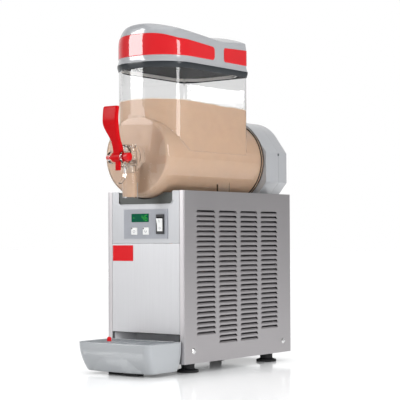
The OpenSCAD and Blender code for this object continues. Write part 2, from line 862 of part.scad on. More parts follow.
module bowl() {
    top = pivot_z + tap_top;
    roof = 2.5;
    slot_half = 4.2;
    slot_up = 12;
    color(clear) placed() difference() {
        union() {
            barrel(0, bowl_rear);
            turned([[0, bowl_rear - bowl_flange[0]],
                [bowl_r + bowl_flange[1], bowl_rear - bowl_flange[0]],
                [bowl_r + bowl_flange[1], bowl_rear], [0, bowl_rear]]);
            prism_z(tank_plan(0), axis_z, rim_z);
            tap_body();
            bowl_tabs();
        }
        barrel(bowl_wall, bowl_rear + over);
        prism_z(tank_plan(-bowl_wall), axis_z, rim_z + over);
        bar_z(spout_bore, spout_z - over, top - roof, 0, spout_y);
        bar_y(outlet_r, spout_y, bowl_wall, 0, outlet_z);
        slab(slot_half, spout_y - spout_r - over, spout_y, pivot_z - slot_up, pivot_z + slot_up);
        bar_x(pin_r + run_gap, -ear_out - over, ear_out + over, pivot_y, pivot_z);
    }
}

module slush() {
    gap = 0.3;
    front = 14;
    inset = bowl_wall + gap;
    color(beige) placed() difference() {
        union() {
            barrel(inset, bowl_rear);
            prism_z(tank_plan(-inset), axis_z, slush_z);
        }
        bar_y(auger_r + auger_gap, bowl_wall + front - bowl_front, bowl_rear + over, 0, axis_z);
    }
}

module bowl_gasket() {
    outer = bowl_r + bowl_flange[1] - 1;
    color(dark) placed() turned([[outer - gasket_w, bowl_rear], [outer, bowl_rear],
        [outer, cover_y], [outer - gasket_w, cover_y]]);
}

// Rounded rectangle across the lever, w wide and t thick, at depth y and height z
function lever_ring(w, t, y, z) = let (r = t / 2 - 0.5, a = w / 2 - r, b = t / 2 - r)
    [for (c = [[a, -b, -90], [a, b, 0], [-a, b, 90], [-a, -b, 180]], i = [0:4])
        let (turn = c[2] + i * 22.5) [c[0] + r * cos(turn), y + c[1] + r * sin(turn), z]];

// One section of the lever's stem and paddle, up above the pivot
function lever_section(up, thin) = let (
        lean = lever_lean * ease((up - 12) / (lever_h - 20)),
        w = stem_w + (paddle_w - stem_w) * ease((up - 30) / 30) - 2 * thin,
        t = stem_t + (paddle_t - stem_t) * ease((up - 20) / 40) - thin)
    lever_ring(w, t, pivot_y - lean, pivot_z + up);

module tap_lever() {
    steps = 12;
    root = 2;
    straight = lever_h - 4 - root;
    tail_half = 6;
    tip_r = 3;
    color(red) placed() difference() {
        union() {
            loft(concat([for (i = [0:steps]) lever_section(root + straight * i / steps, 0)],
                [lever_section(lever_h - 1.5, 1.2), lever_section(lever_h, 3.5)]));
            bar_x(hub_r, -hub_half, hub_half, pivot_y, pivot_z);
            prism_x([[pivot_y - 4.5, pivot_z - root], [pivot_y - 3, pivot_z - lever_tail],
                [pivot_y + 2, pivot_z - lever_tail], [pivot_y + 4.5, pivot_z - root]],
                -tail_half, tail_half);
            translate([0, pivot_y, pivot_z]) rotate([arm_rest, 0, 0])
                slab(tip_r - 0.3, 0, arm_l, -tip_r * 0.8, tip_r * 0.8);
            bar_x(tip_r, -tip_r, tip_r, notch_y, notch_z);
        }
        bar_x(pin_r + run_gap, -hub_half - over, hub_half + over, pivot_y, pivot_z);
    }
}

module tap_pivot_pin() {
    color(red) placed() {
        bar_x(pin_r, -ear_out - pin_tail, ear_out, pivot_y, pivot_z);
        bar_x(pin_head[0], ear_out, ear_out + pin_head[1], pivot_y, pivot_z);
    }
}

piston_r = spout_bore - run_gap;
seal_r = 1.05;
seal_mid = piston_r - 1;
seal_at = [outlet_z - outlet_r - 2, outlet_z + outlet_r + 2];

module tap_piston() {
    notch = 3.8;
    floor_z = outlet_z - outlet_r - 4;
    color(white) placed() difference() {
        bar_z(piston_r, floor_z, notch_z + 2 * notch, 0, spout_y);
        slab(piston_r, spout_y - piston_r - over, spout_y + 2, notch_z - notch, notch_z + notch);
        for (z = seal_at) translate([0, spout_y, z]) rotate_extrude()
            translate([seal_mid - seal_r, -seal_r]) square([2 * seal_r + over, 2 * seal_r]);
    }
}

module piston_seals() {
    color(black) placed() for (z = seal_at)
        translate([0, spout_y, z]) rotate_extrude() translate([seal_mid, 0]) circle(seal_r, $fn = 32);
}

// Lid

// Outline of the tank moved outwards by out, as a ring at one height
function level_ring(out, z) = [for (p = tank_plan(out)) [p[0], p[1], z]];

module lid_base() {
    skirt_low = rim_z - lid_skirt;
    hem = 2;
    color(dark) placed() difference() {
        loft([level_ring(hem, skirt_low), level_ring(lid_over, rim_z), level_ring(lid_over, shell_z)]);
        prism_z(tank_plan(lid_gap), skirt_low - over, rim_z);
    }
}

module lid_seal() {
    out = -bowl_wall - lid_gap;
    color(white) placed() difference() {
        prism_z(tank_plan(out), rim_z - lid_lip, rim_z);
        prism_z(tank_plan(out - lid_wall), rim_z - lid_lip - over, rim_z + over);
    }
}

// Height of the shell's crowned top at a place
function lid_top(x, y) = let (
        crown_y = tank_front_r - tank_front,
        rise_y = tank_rear - 104,
        dip_run = 206,
        rise_run = 90)
    shell_z + lid_h - lid_camber * pow(x / tank_half, 2)
    - lid_fall * pow(max(crown_y - y, 0) / tank_front_r, 2)
    - lid_dip * ease((y - 4) / dip_run) + lid_rise * ease((y - rise_y) / rise_run);

// Fall of the rounded shoulder at a depth and at a distance in from the shell's wall
function shoulder_fall(y, inset) = let (
        size = shoulder_front + (shoulder_rear - shoulder_front) * ease((y + 20) / 160),
        t = 1 - min(inset / size[0], 1))
    size[1] * (1 - sqrt(1 - t * t));

// Ring of the shell's top at a distance in from its wall, with the whole shell grown by out
function lid_ring(inset, out) = [for (p = tank_plan(lid_wall_out + out - inset))
    [p[0], p[1], lid_top(p[0], p[1]) - shoulder_fall(p[1], inset) + out]];

// Ring of the curve out to the shell's foot, at a share of its height
function flare_ring(share, out) =
    level_ring(lid_wall_out + (lid_over - lid_wall_out) * pow(1 - share, 2) + out, shell_z + flare_h * share);

// The shell's outer form, grown by out
module lid_form(out) {
    bends = [for (share = [0, 0.02, 0.07, 0.16, 0.3, 0.5, 0.75, 1]) shoulder_front[0] * share];
    spine = 6;
    crown = [for (i = [1:4]) shoulder_front[0] + (tank_half - shoulder_front[0] - spine) * i / 4];
    loft(concat([for (share = [0:0.25:1]) flare_ring(share, out)],
        [for (inset = concat(bends, crown)) lid_ring(inset, out)]));
}

module lid_shell() {
    color(light_grey) placed() difference() {
        lid_form(0);
        prism_z(tank_plan(lid_wall_out - shell_wall), shell_z - over, shell_z + shell_pocket);
    }
}

module lid_lamp() {
    front = 20;
    rear = tank_rear - 40;
    strip_half = 12;
    strip_t = 2;
    led = [3, 6, 2];
    led_step = 25;
    color(white) placed() {
        slab(strip_half, front, rear, shell_z, shell_z + strip_t);
        for (y = [front + led_step / 2:led_step:rear - led_step / 2])
            slab(led[0], y, y + led[1], shell_z + strip_t, shell_z + strip_t + led[2]);
    }
}

// Skin that lies on the lid's wall
module lid_skin() {
    difference() {
        lid_form(band_t);
        lid_form(0);
    }
}

// Lower and upper edge of the red band along the lid
band_low = shell_z + flare_h + 0.8;
function band_high(y) = let (side_h = 47.7, peak = 9.8, slope = 0.07)
    shell_z + side_h + peak * (1 - ease((y + tank_front + 2) / 50)) - slope * max(y - 20, 0);

module lid_band() {
    r = 7;
    front = -tank_front - lid_over - 2 * band_t;
    steps = 20;
    stop = band_end - r;
    low = band_low + r;
    high = band_high(band_end) - r;
    ys = [for (i = [0:steps]) front + (stop - front) * i / steps];
    color(red) placed() intersection() {
        lid_skin();
        prism_x(concat([[front, band_low]], arc([stop, low], r, -90, 0, 5),
            arc([stop, high], r, 0, 80, 5), [for (i = [steps:-1:0]) [ys[i], band_high(ys[i])]]),
            -cab_w, cab_w);
    }
}

module lid_rear_plates() {
    r = 6;
    high = shell_z + 43;
    rise = 3.5;
    end = tank_rear + lid_over + 2 * band_t;
    inner = tank_half - tank_rear_r - 14;
    color(red) placed() both_sides() intersection() {
        lid_skin();
        prism_x(concat(arc([plate_start + r, band_low + r], r, 180, 270, 5), [[end, band_low]],
            [[end, high + rise]], arc([plate_start + r, high - r], r, 90, 180, 5)), inner, cab_w);
    }
}

// Drive cover

// Outline of the drive cover drawn in by inset, standing on the deck
module cover_form(inset, y0, y1, floor_z) {
    waist = 22;
    crown_up = 11;
    eave_up = 9;
    side = cover_half - inset;
    foot = side - waist;
    r = cover_r - inset;
    mid = axis_z + crown_up;
    eave = mid + eave_up;
    hip = cab_top + inset / 2;
    knee = hip + waist + 4;
    tilt = atan2(eave_up, side) + acos(r / norm([side, eave_up]));
    prism_y(concat([[foot, floor_z], [foot, hip], [side, knee], [side, eave]],
        arc([0, mid], r, tilt, 180 - tilt, 28),
        [[-side, eave], [-side, knee], [-foot, hip], [-foot, floor_z]]), y0, y1);
}

// Recess for a cover screw across the seam
module screw_recess() {
    both_sides() bar_x(3.2, cover_half - cover_wall / 2, cover_half + over, seam_y, axis_z + 16);
}

spigot_r = bowl_r - 25;

module drive_cover_front() {
    fit = 0.3;
    color(light_grey) placed() difference() {
        cover_form(0, cover_y, seam_y - seam / 2, deck_z);
        cover_form(cover_wall, bracket_y, seam_y + over, deck_z - over);
        bar_y(spigot_r + fit, cover_y - over, bracket_y + over, 0, axis_z);
        screw_recess();
    }
}

module drive_cover_rear() {
    vent_rows = 6;
    vent_step = 9;
    vent_half = 36;
    color(light_grey) placed() difference() {
        cover_form(0, seam_y + seam / 2, cab_d, deck_z);
        cover_form(cover_wall, seam_y - over, cab_d - cover_wall, deck_z - over);
        for (i = [0:vent_rows - 1])
            slab(vent_half, cab_d - cover_wall - over, cab_d + over,
                axis_z - 20 + i * vent_step, axis_z - 16 + i * vent_step);
        screw_recess();
    }
}

module cover_screws() {
    head_r = 2.8;
    head_h = 1.2;
    floor_x = cover_half - cover_wall / 2;
    color(dark) placed() both_sides()
        bar_x(head_r, floor_x, floor_x + head_h, seam_y, axis_z + 16);
}

// Drive

suction_x = -48;
suction_y = gear_y + 15;
bracket_half = 58;

module drive_bracket() {
    foot_d = 28;
    foot_half = 36;
    color(dull_steel) placed() difference() {
        union() {
            slab(bracket_half, bracket_y, gear_y, deck_z, axis_z + 58);
            slab(foot_half, bracket_y, gear_y + foot_d, deck_z, deck_z + bracket_t);
        }
        bar_y(shaft_r + 2, bracket_y - over, gear_y + over, 0, axis_z);
        bar_y(pipe_r + 1, bracket_y - over, gear_y + over, suction_x, axis_z);
    }
}

shaft_depth = 20;

module gear_motor() {
    box_d = 26;
    motor_r = 36;
    motor_end = cab_d - cover_wall - 6;
    color(dark) placed() difference() {
        union() {
            slab(40, gear_y, gear_y + box_d, axis_z - 40, axis_z + 50);
            bar_y(motor_r, gear_y + box_d, motor_end, 0, axis_z + 10);
        }
        bar_y(shaft_r + run_gap, gear_y - over, gear_y + shaft_depth, 0, axis_z);
    }
}

hub_front = drum_front - 30;
shaft_front = hub_front + 10;
seal_t = 4;

module drive_shaft() {
    color(steel) placed() bar_y(shaft_r, shaft_front, gear_y + shaft_depth, 0, axis_z);
}

module shaft_seal() {
    color(black) placed() turned([[shaft_r + run_gap, drum_front - seal_t],
        [shaft_r + 12, drum_front - seal_t], [shaft_r + 12, drum_front],
        [shaft_r + run_gap, drum_front]]);
}

module evaporator_drum() {
    chamfer = 8;
    fit = 0.3;
    bore = shaft_r + run_gap;
    flange_r = bowl_r + bowl_flange[1] - 1 - gasket_w - fit;
    color(steel) placed() turned([[bore, drum_front], [drum_r - chamfer, drum_front],
        [drum_r, drum_front + chamfer], [drum_r, bowl_rear], [flange_r, bowl_rear],
        [flange_r, cover_y], [spigot_r, cover_y], [spigot_r, bracket_y], [bore, bracket_y]]);
}

// Auger: a hub and ring at the front, three arms and one long helical blade
module auger() {
    hub_outer = shaft_r + 8;
    ring_y = shaft_front;
    ring_d = 8;
    rings_per_turn = 28;
    edge = 1;
    stop = bowl_rear - 9;
    steps = ceil(auger_turns * rings_per_turn);
    inner = auger_r - auger_w;
    outer = auger_r - edge;
    sections = [for (i = [0:steps])
        let (a = 360 * auger_turns * i / steps, y = ring_y + edge + (stop - ring_y - edge) * i / steps)
        [for (c = [[inner, 0], [outer, 0], [outer, auger_t], [inner, auger_t]])
            [c[0] * cos(a), y + c[1], c[0] * sin(a)]]];
    color(white) placed() {
        difference() {
            union() {
                bar_y(hub_outer, hub_front, drum_front - seal_t - 2, 0, axis_z);
                for (a = [0:120:240]) translate([0, 0, axis_z]) rotate([0, a, 0])
                    block([hub_outer - 4, ring_y + edge, -6], [inner + 2, ring_y + ring_d - edge, 6]);
                turned([[inner - edge, ring_y], [auger_r, ring_y], [auger_r, ring_y + ring_d],
                    [inner - edge, ring_y + ring_d]]);
                translate([0, 0, axis_z]) loft(sections);
            }
            bar_y(shaft_r + run_gap, shaft_front, bowl_rear, 0, axis_z);
        }
    }
}

// Drip tray

// Outline of the tray at a fall below its rim, drawn in by inset
function tray_ring(fall, inset) = let (
        s = fall / tray_h,
        outline = plan(tray_half - tray_taper * s * s - inset,
            tray_rake * s * s + inset - tray_d, -tray_gap - 8 * pow(s, 4) - inset,
            max(tray_r - inset, 2), 3))
    [for (p = outline) [p[0], p[1], tray_top - fall]];

ledge_z = tray_top - grille_down - grille_t;
float_x = 42 - tray_half;
float_y = -tray_d / 2;
grille_gap = 0.4;

// Shallow arched facet in the tray's front
module tray_facet() {
    facet_d = 0.8;
    levels = 6;
    low = tray_up - over;
    stop = tray_h + 2 * over;
    foot = tray_half * 0.74;
    intersection() {
        prism_y([[-foot, low], [foot, low], [foot * 0.72, low + 16], [foot * 0.49, low + 27.5],
            [foot * 0.27, low + 32], [-foot * 0.27, low + 32], [-foot * 0.49, low + 27.5],
            [-foot * 0.72, low + 16]], -tray_d - 2 * over, -tray_d / 2);
        difference() {
            loft([for (i = [levels:-1:1]) tray_ring(stop * i / levels, -over)]);
            loft([for (i = [levels:-1:1]) tray_ring((stop + over) * i / levels, facet_d)]);
        }
    }
}

module drip_tray() {
    levels = 8;
    floor_t = 2.5;
    runner = [40, 58];
    runner_end = recess_d - 14;
    runner_low = pan_top + 0.5;
    body_depth = tray_h - floor_t;
    well = tray_top - ledge_z;
    color(tray_grey) placed() difference() {
        union() {
            difference() {
                loft([for (i = [levels:-1:0]) tray_ring(tray_h * i / levels, 0)]);
                tray_facet();
            }
            both_sides() block([runner[0], -tray_gap - tray_wall - ledge_w, runner_low],
                [runner[1], runner_end, runner_low + 8]);
        }
        loft([for (i = [levels:-1:0])
            tray_ring(well - over + (body_depth - well + over) * i / levels, tray_wall + ledge_w)]);
        loft([tray_ring(well, tray_wall), tray_ring(-over, tray_wall)]);
    }
}

module drip_grille() {
    margin = 12;
    bar = 8;
    half = tray_half - margin;
    slot_l = (2 * half - (slot_count[0] - 1) * bar) / slot_count[0];
    start = -tray_d + margin + 4;
    step = (tray_d - 2 * margin - 4 - slot_w) / (slot_count[1] - 1);
    outline = [for (p = tray_ring(0, tray_wall + grille_gap)) [p[0], p[1]]];
    island = float_r + 5;
    color(dark) placed() difference() {
        prism_z(outline, ledge_z, ledge_z + grille_t);
        difference() {
            for (c = [0:slot_count[0] - 1], r = [0:slot_count[1] - 1])
                translate([c * (slot_l + bar) - half, start + r * step, ledge_z - over])
                    cube([slot_l, slot_w, grille_t + 2 * over]);
            bar_z(island, ledge_z - 2 * over, ledge_z + grille_t + 2 * over, float_x, float_y);
        }
        bar_z(float_r + grille_gap, ledge_z - over, ledge_z + grille_t + over, float_x, float_y);
    }
}

module float_indicator() {
    top = ledge_z + grille_t + float_out;
    low = tray_up + 4;
    disc = [14, 16];
    color(red) placed() translate([float_x, float_y, 0]) rotate_extrude() polygon(concat(
        [[0, low], [disc[0], low], [disc[0], low + disc[1]], [float_r, low + disc[1] + 3]],
        [for (a = [0:15:75]) [float_r * cos(a), top - float_r + float_r * sin(a)]], [[0, top]]));
}

// Cooling

comp_z = pan_top + grommet_h;
comp_feet = 46;
stub_r = pipe_r + 1;
stub_top = comp_z + comp_h + 12;

module compressor() {
    plate_t = 3;
    dome = 30;
    waist = comp_z + comp_h / 2;
    color(black) placed() translate([0, comp_y, 0]) {
        rotate_extrude() polygon(concat([[0, comp_z], [comp_r - 14, comp_z]],
            arc([comp_r - 14, comp_z + 20], 14, -60, 0, 5), [[comp_r, waist], [comp_r + 2, waist],
            [comp_r + 2, waist + 5], [comp_r, waist + 5]],
            [for (a = [0:15:75]) [comp_r * cos(a), comp_z + comp_h - dome + dome * sin(a)]],
            [[0, comp_z + comp_h]]));
        slab(comp_feet + 10, -comp_feet - 10, comp_feet + 10, comp_z, comp_z + plate_t);
        for (s = [-1, 1]) bar_z(stub_r, comp_z + comp_h / 2, stub_top, 30 * s, 20 * s);
    }
}

module compressor_grommets() {
    color(black) placed() for (x = [-1, 1], y = [-1, 1])
        translate([x * comp_feet, comp_y + y * comp_feet, pan_top]) rotate_extrude() polygon([
            [0, 0], [9, 0], [9, grommet_h / 3], [7, grommet_h / 2], [9, grommet_h * 2 / 3],
            [9, grommet_h], [0, grommet_h]]);
}

cond_half = half_w - cond_side;
cond_top = pan_top + cond_h;
cond_stub = cond_top + 6;

module condenser() {
    fin_t = 1;
    end_t = 2;
    tube_r = 4;
    rows = 7;
    pitch = (cond_h - 30) / (rows - 1);
    step = 2 * (cond_half - end_t) / (fin_count + 1);
    color(dull_steel) placed() {
        both_sides() block([cond_half - end_t, cond_y, pan_top], [cond_half, cond_y + cond_d, cond_top]);
        for (i = [1:fin_count]) block([i * step - cond_half + end_t - fin_t / 2, cond_y, pan_top + 8],
            [i * step - cond_half + end_t + fin_t / 2, cond_y + cond_d, cond_top - 4]);
        for (i = [0:rows - 1], y = [0.27, 0.73])
            bar_x(tube_r, -cond_half, cond_half, cond_y + y * cond_d, pan_top + 15 + i * pitch);
        bar_z(stub_r, cond_top - 20, cond_stub, 30, cond_y + cond_d / 2);
    }
}

fan_y = cond_y - 34;

module fan_shroud() {
    t = 2;
    lip = [3, 8];
    tip_gap = 4;
    hole = fan_r + tip_gap;
    color(black) placed() difference() {
        union() {
            slab(cond_half, cond_y - t, cond_y, pan_top, cond_top);
            bar_y(hole + lip[0], cond_y - t - lip[1], cond_y, 0, fan_z);
        }
        bar_y(hole, cond_y - t - lip[1] - over, cond_y + over, 0, fan_z);
    }
}

fan_shaft_r = 4;
fan_socket = 12;

module fan_motor() {
    motor_r = 28;
    motor_d = 34;
    stand = [14, 18];
    color(dark) placed() difference() {
        union() {
            bar_y(motor_r, fan_y - motor_d, fan_y, 0, fan_z);
            slab(stand[0], fan_y - motor_d + 6, fan_y - motor_d + 6 + stand[1], pan_top, fan_z);
            slab(2 * stand[0], fan_y - motor_d, fan_y, pan_top, pan_top + 3);
        }
        bar_y(fan_shaft_r + run_gap, fan_y - fan_socket, fan_y + over, 0, fan_z);
    }
}

module fan_blades() {
    hub_r = 16;
    hub = [fan_y + 4, fan_y + 24];
    pitch = 32;
    blade_w = 34;
    blade_t = 2;
    color(light_grey) placed() {
        bar_y(fan_shaft_r, fan_y - fan_socket, hub[1], 0, fan_z);
        bar_y(hub_r, hub[0], hub[1], 0, fan_z);
        for (i = [0:blade_count - 1])
            translate([0, (hub[0] + hub[1]) / 2, fan_z]) rotate([0, 360 * i / blade_count, 0])
                intersection() {
                    translate([0, 0, hub_r - 4]) rotate([0, 0, pitch])
                        translate([-blade_w / 2, -blade_t / 2, 0]) cube([blade_w, blade_t, fan_r]);
                    bar_y(fan_r, -blade_w, blade_w, 0, 0);
                }
    }
}

// Pipe through a list of points, with a round elbow at each bend
module pipe(points) {
    for (i = [0:len(points) - 2]) {
        run = points[i + 1] - points[i];
        flat = norm([run[0], run[1]]);
        translate(points[i]) rotate([0, atan2(flat, run[2]), atan2(run[1], run[0])])
            cylinder(r = pipe_r, h = norm(run));
    }
    for (i = [1:len(points) - 2]) translate(points[i]) sphere(pipe_r);
}

module refrigerant_pipes() {
    hot_rise = 90;
    cold_rise = 25;
    hot_z = stub_top + hot_rise;
    cold_z = hot_z + cold_rise;
    cond_mid = cond_y + cond_d / 2;
    color(copper) placed() {
        pipe([[30, comp_y + 20, stub_top], [30, comp_y + 20, hot_z], [30, cond_mid, hot_z],
            [30, cond_mid, cond_stub]]);
        pipe([[suction_x, bracket_y, axis_z], [suction_x, suction_y, axis_z],
            [suction_x, suction_y, cold_z], [suction_x, comp_y - 20, cold_z],
            [-30, comp_y - 20, cold_z], [-30, comp_y - 20, stub_top]]);
    }
}

base_pan();
feet();
side_panel_right();
side_panel_left();
front_panel_upper();
front_panel_lower();
side_panel_screws();
top_deck();
rear_panel();
chassis_posts();
recess_liner();
cord_gland();
control_plate();
display_window();
button_left();
button_right();
rocker_bezel();
rocker_switch();
badge_plate();
control_board();
bowl();
slush();
bowl_gasket();
tap_lever();
tap_pivot_pin();
tap_piston();
piston_seals();
lid_base();
lid_seal();
lid_shell();
lid_lamp();
lid_band();
lid_rear_plates();
drive_cover_front();
drive_cover_rear();
cover_screws();
drive_bracket();
gear_motor();
drive_shaft();
shaft_seal();
evaporator_drum();
auger();
drip_tray();
drip_grille();
float_indicator();
compressor();
compressor_grommets();
condenser();
fan_shroud();
fan_motor();
fan_blades();
refrigerant_pipes();
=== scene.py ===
import json
import math
import random

import bmesh
import bpy
from mathutils import Matrix, Vector, noise


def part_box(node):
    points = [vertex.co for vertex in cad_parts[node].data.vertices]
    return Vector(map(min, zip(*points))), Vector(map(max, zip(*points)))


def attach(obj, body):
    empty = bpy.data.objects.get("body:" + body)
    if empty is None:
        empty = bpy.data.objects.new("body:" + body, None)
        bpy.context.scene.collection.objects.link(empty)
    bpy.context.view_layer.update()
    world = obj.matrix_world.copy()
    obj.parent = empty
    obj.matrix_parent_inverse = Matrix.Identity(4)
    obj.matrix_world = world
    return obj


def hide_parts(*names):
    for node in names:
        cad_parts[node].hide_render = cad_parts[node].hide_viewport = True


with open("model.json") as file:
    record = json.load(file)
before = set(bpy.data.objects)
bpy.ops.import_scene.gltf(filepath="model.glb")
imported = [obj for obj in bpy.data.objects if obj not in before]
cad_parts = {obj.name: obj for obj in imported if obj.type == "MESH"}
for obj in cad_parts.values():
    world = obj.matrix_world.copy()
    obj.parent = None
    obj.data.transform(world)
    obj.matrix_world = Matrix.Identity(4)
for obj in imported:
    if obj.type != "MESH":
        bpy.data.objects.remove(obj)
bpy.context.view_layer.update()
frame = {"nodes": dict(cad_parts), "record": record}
cad = frame["nodes"]

# Sizes in millimetres: depths from the cabinet's front, heights from the floor
MM = 0.001
FRONT_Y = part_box("side_panel_right")[0].y
HALF_W = 100.0
SHEET = 1.2
CAB_D = 380.0
CAB_Z = 20.0
CAB_TOP = 365.0
FLANGE_W = 11.5
AXIS_Z = 436.0
RIM_Z = 620.0
SHELL_Z = 624.0
SLUSH_Z = 547.0
TANK_HALF = 84.4
TANK_FRONT = 27.5
TANK_REAR = 244.0
TANK_FRONT_R = 72.0
TANK_REAR_R = 10.0
BOWL_R = 85.0
BOWL_WALL = 3.0
FACE_R = 78.0
NOSE_L = 30.0
BOWL_FRONT = 28.0
BOWL_REAR = 297.0
PIVOT = (-83.0, 430.0)
SPOUT_Y = -47.0
CONTROL_AT = (1.5, 298.8)
TRAY_TOP = 64.5
TRAY_H = 58.0
TINY = 0.02

# Distance in metres at which points are welded
WELD = 2e-6

UP = Vector((0, 0, 1))
WHITE = (1, 1, 1, 1)


def at(x, y, z):
    """A place in the part's own frame, in metres."""
    return Vector((x * MM, FRONT_Y + y * MM, z * MM))


def add_object(name, data):
    """New object in the scene."""
    made = bpy.data.objects.new(name, data)
    bpy.context.scene.collection.objects.link(made)
    return made


# Camera, at the photograph's place

CAMERA_AT = (1.659776, -2.139821, 0.270802)
CAMERA_AZIMUTH = math.radians(37.219)
CAMERA_PITCH = math.radians(1.677)
CAMERA_ROLL = math.radians(-0.241)
CAMERA_LENS = 115.505
CAMERA_SENSOR = 36.0


def make_camera():
    turn = Matrix.Rotation(CAMERA_AZIMUTH, 4, "Z") @ Matrix.Rotation(math.pi / 2 + CAMERA_PITCH, 4, "X")
    data = bpy.data.cameras.new("camera")
    data.lens = CAMERA_LENS
    data.sensor_width = CAMERA_SENSOR
    data.clip_start = 0.05
    data.clip_end = 100
    camera = add_object("camera", data)
    camera.matrix_world = Matrix.Translation(CAMERA_AT) @ turn @ Matrix.Rotation(CAMERA_ROLL, 4, "Z")
    bpy.context.scene.camera = camera


# Node trees

class Nodes:
    """Adds nodes and links to one tree."""

    def __init__(self, tree):
        self.tree = tree

    def node(self, kind, values=None, **settings):
        """A new node; values gives constants for its inputs, by name or number."""
        made = self.tree.nodes.new(kind)
        for key, value in settings.items():
            setattr(made, key, value)
        for key, value in (values or {}).items():
            made.inputs[key].default_value = value
        return made

    def link(self, source, target):
        self.tree.links.new(source, target)

    def spread(self, field, low, high, start=0.2, stop=0.8):
        """A field between start and stop, drawn out between low and high."""
        ends = {"From Min": start, "From Max": stop, "To Min": low, "To Max": high}
        ranged = self.node("ShaderNodeMapRange", ends)
        self.link(field, ranged.inputs["Value"])
        return ranged.outputs["Result"]

    def join(self, operation, first, second):
        """Result of an operation on two sockets."""
        made = self.node("ShaderNodeMath", operation=operation)
        self.link(first, made.inputs[0])
        self.link(second, made.inputs[1])
        return made.outputs[0]

    def rays(self, *kinds):
        """1 on rays of the given kinds and 0 on others."""
        path = self.node("ShaderNodeLightPath")
        result = path.outputs[f"Is {kinds[0]} Ray"]
        for kind in kinds[1:]:
            result = self.join("MAXIMUM", result, path.outputs[f"Is {kind} Ray"])
        return result

    def mix_shaders(self, share, first, second):
        """Shader that goes from the first to the second as the share rises."""
        mix = self.node("ShaderNodeMixShader")
        for source, socket in zip((share, first, second), mix.inputs):
            self.link(source, socket)
        return mix.outputs["Shader"]


# Light and stage

BACKDROP = Vector((-0.605, 0.796, 0))
BACKDROP_EDGE = (0.4, 0.8)
STUDIO_COLOUR = (0.8, 0.8, 0.8, 1)
SIDE_GREY = 0.36
AMBIENT_COLOUR = (0.96, 0.98, 1.0, 1)
AMBIENT = 0.64
FLOOR_HALF = 20
FLOOR_GLOW = 0.31
FLOOR_SHADE_REACH = 0.07


def area_light(name, place, aim, size, radiance, mirrored=True, lit=True):
    """Rectangular lamp of a given radiance; it may be left out of reflections or of diffuse light."""
    data = bpy.data.lights.new(name, "AREA")
    data.shape = "RECTANGLE"
    data.size, data.size_y = size
    data.energy = radiance * math.pi * size[0] * size[1]
    lamp = add_object(name, data)
    lamp.visible_camera = False
    lamp.visible_diffuse = lit
    lamp.visible_glossy = mirrored
    lamp.visible_transmission = mirrored
    lamp.location = place
    lamp.rotation_euler = (Vector(aim) - Vector(place)).to_track_quat("-Z", "Y").to_euler()


def make_world():
    """Plain ambient light, white behind the object and a greyer studio to its other sides."""
    world = bpy.data.worlds.new("studio")
    bpy.context.scene.world = world
    world.use_nodes = True
    world.node_tree.nodes.clear()
    nodes = Nodes(world.node_tree)
    ambient = nodes.node("ShaderNodeBackground", {"Color": AMBIENT_COLOUR, "Strength": AMBIENT})
    white = nodes.node("ShaderNodeBackground", {"Color": WHITE})
    studio = nodes.node("ShaderNodeBackground", {"Color": STUDIO_COLOUR})
    place = nodes.node("ShaderNodeTexCoord")
    facing = nodes.node("ShaderNodeVectorMath", {1: BACKDROP}, operation="DOT_PRODUCT")
    nodes.link(place.outputs["Generated"], facing.inputs[0])
    shade = nodes.spread(facing.outputs["Value"], SIDE_GREY, 1.0, *BACKDROP_EDGE)
    nodes.link(shade, studio.inputs["Strength"])
    reflected = nodes.rays("Glossy", "Transmission")
    unseen = nodes.mix_shaders(reflected, ambient.outputs[0], studio.outputs[0])
    seen = nodes.mix_shaders(nodes.rays("Camera"), unseen, white.outputs[0])
    nodes.link(seen, nodes.node("ShaderNodeOutputWorld").inputs["Surface"])


def make_floor():
    """White paper that keeps the shadow, with a glow where it is seen or mirrored; the glow fades near the
    object as painted contact shade.
    """
    mesh = bpy.data.meshes.new("floor")
    shape = bmesh.new()
    bmesh.ops.create_grid(shape, x_segments=8, y_segments=8, size=FLOOR_HALF)
    shape.to_mesh(mesh)
    shape.free()
    floor = add_object("floor", mesh)
    paper = Surface("floor_paper", (0.88, 0.88, 0.88), 0.1)
    paper.speckle(40, 0.01, 0.02)
    # Painted contact shade: ambient occlusion takes the glow away close to the object
    painted_contact_shade = paper.node("ShaderNodeAmbientOcclusion", {"Distance": FLOOR_SHADE_REACH}, samples=8)
    seen = paper.rays("Camera", "Glossy", "Transmission")
    open_glow = paper.join("MULTIPLY", seen, painted_contact_shade.outputs["AO"])
    glow = paper.spread(open_glow, 0.0, FLOOR_GLOW, 0.0, 1.0)
    paper.set({"Emission Color": WHITE})
    paper.link(glow, paper.bsdf.inputs["Emission Strength"])
    mesh.materials.append(paper.material)


def make_stage():
    make_world()
    make_floor()
    area_light("softbox_left", (-1.2, -1.62, 1.12), (0, -0.13, 0.62), (0.6, 0.66), 10)
    area_light("softbox_left_high", (-1.15, -1.55, 1.8), (0, -0.13, 0.65), (0.6, 0.7), 8, lit=False)
    area_light("softbox_left_mid", (-1.2, -1.62, 0.73), (0, -0.13, 0.6), (0.6, 0.13), 4)
    area_light("softbox_left_low", (-1.05, -1.7, 0.42), (0, -0.13, 0.4), (0.6, 0.74), 1.1)
    area_light("softbox_right", (1.75, -0.16, 0.85), (0, -0.05, 0.6), (0.3, 0.8), 8)
    area_light("fill_right", (2.2, -1.0, 0.6), (0, -0.05, 0.35), (1.2, 1.0), 4.5, mirrored=False)
    area_light("fill_low", (0.95, -0.25, 0.1), (0.09, -0.3, 0.04), (0.5, 0.12), 14, mirrored=False)
    area_light("softbox_top", (0.2, -0.3, 2.2), (0, -0.05, 0.4), (1.8, 1.8), 1.0)


# Materials: each one is built from noise in the part's own frame, and kept by its name

materials = {}
LEAST_ROUGHNESS = 0.02
# Scale of the brushing on steel, across and along it
STEEL_GRAIN = (1800.0, 12.0)
STEEL_EDGE = 0.0005


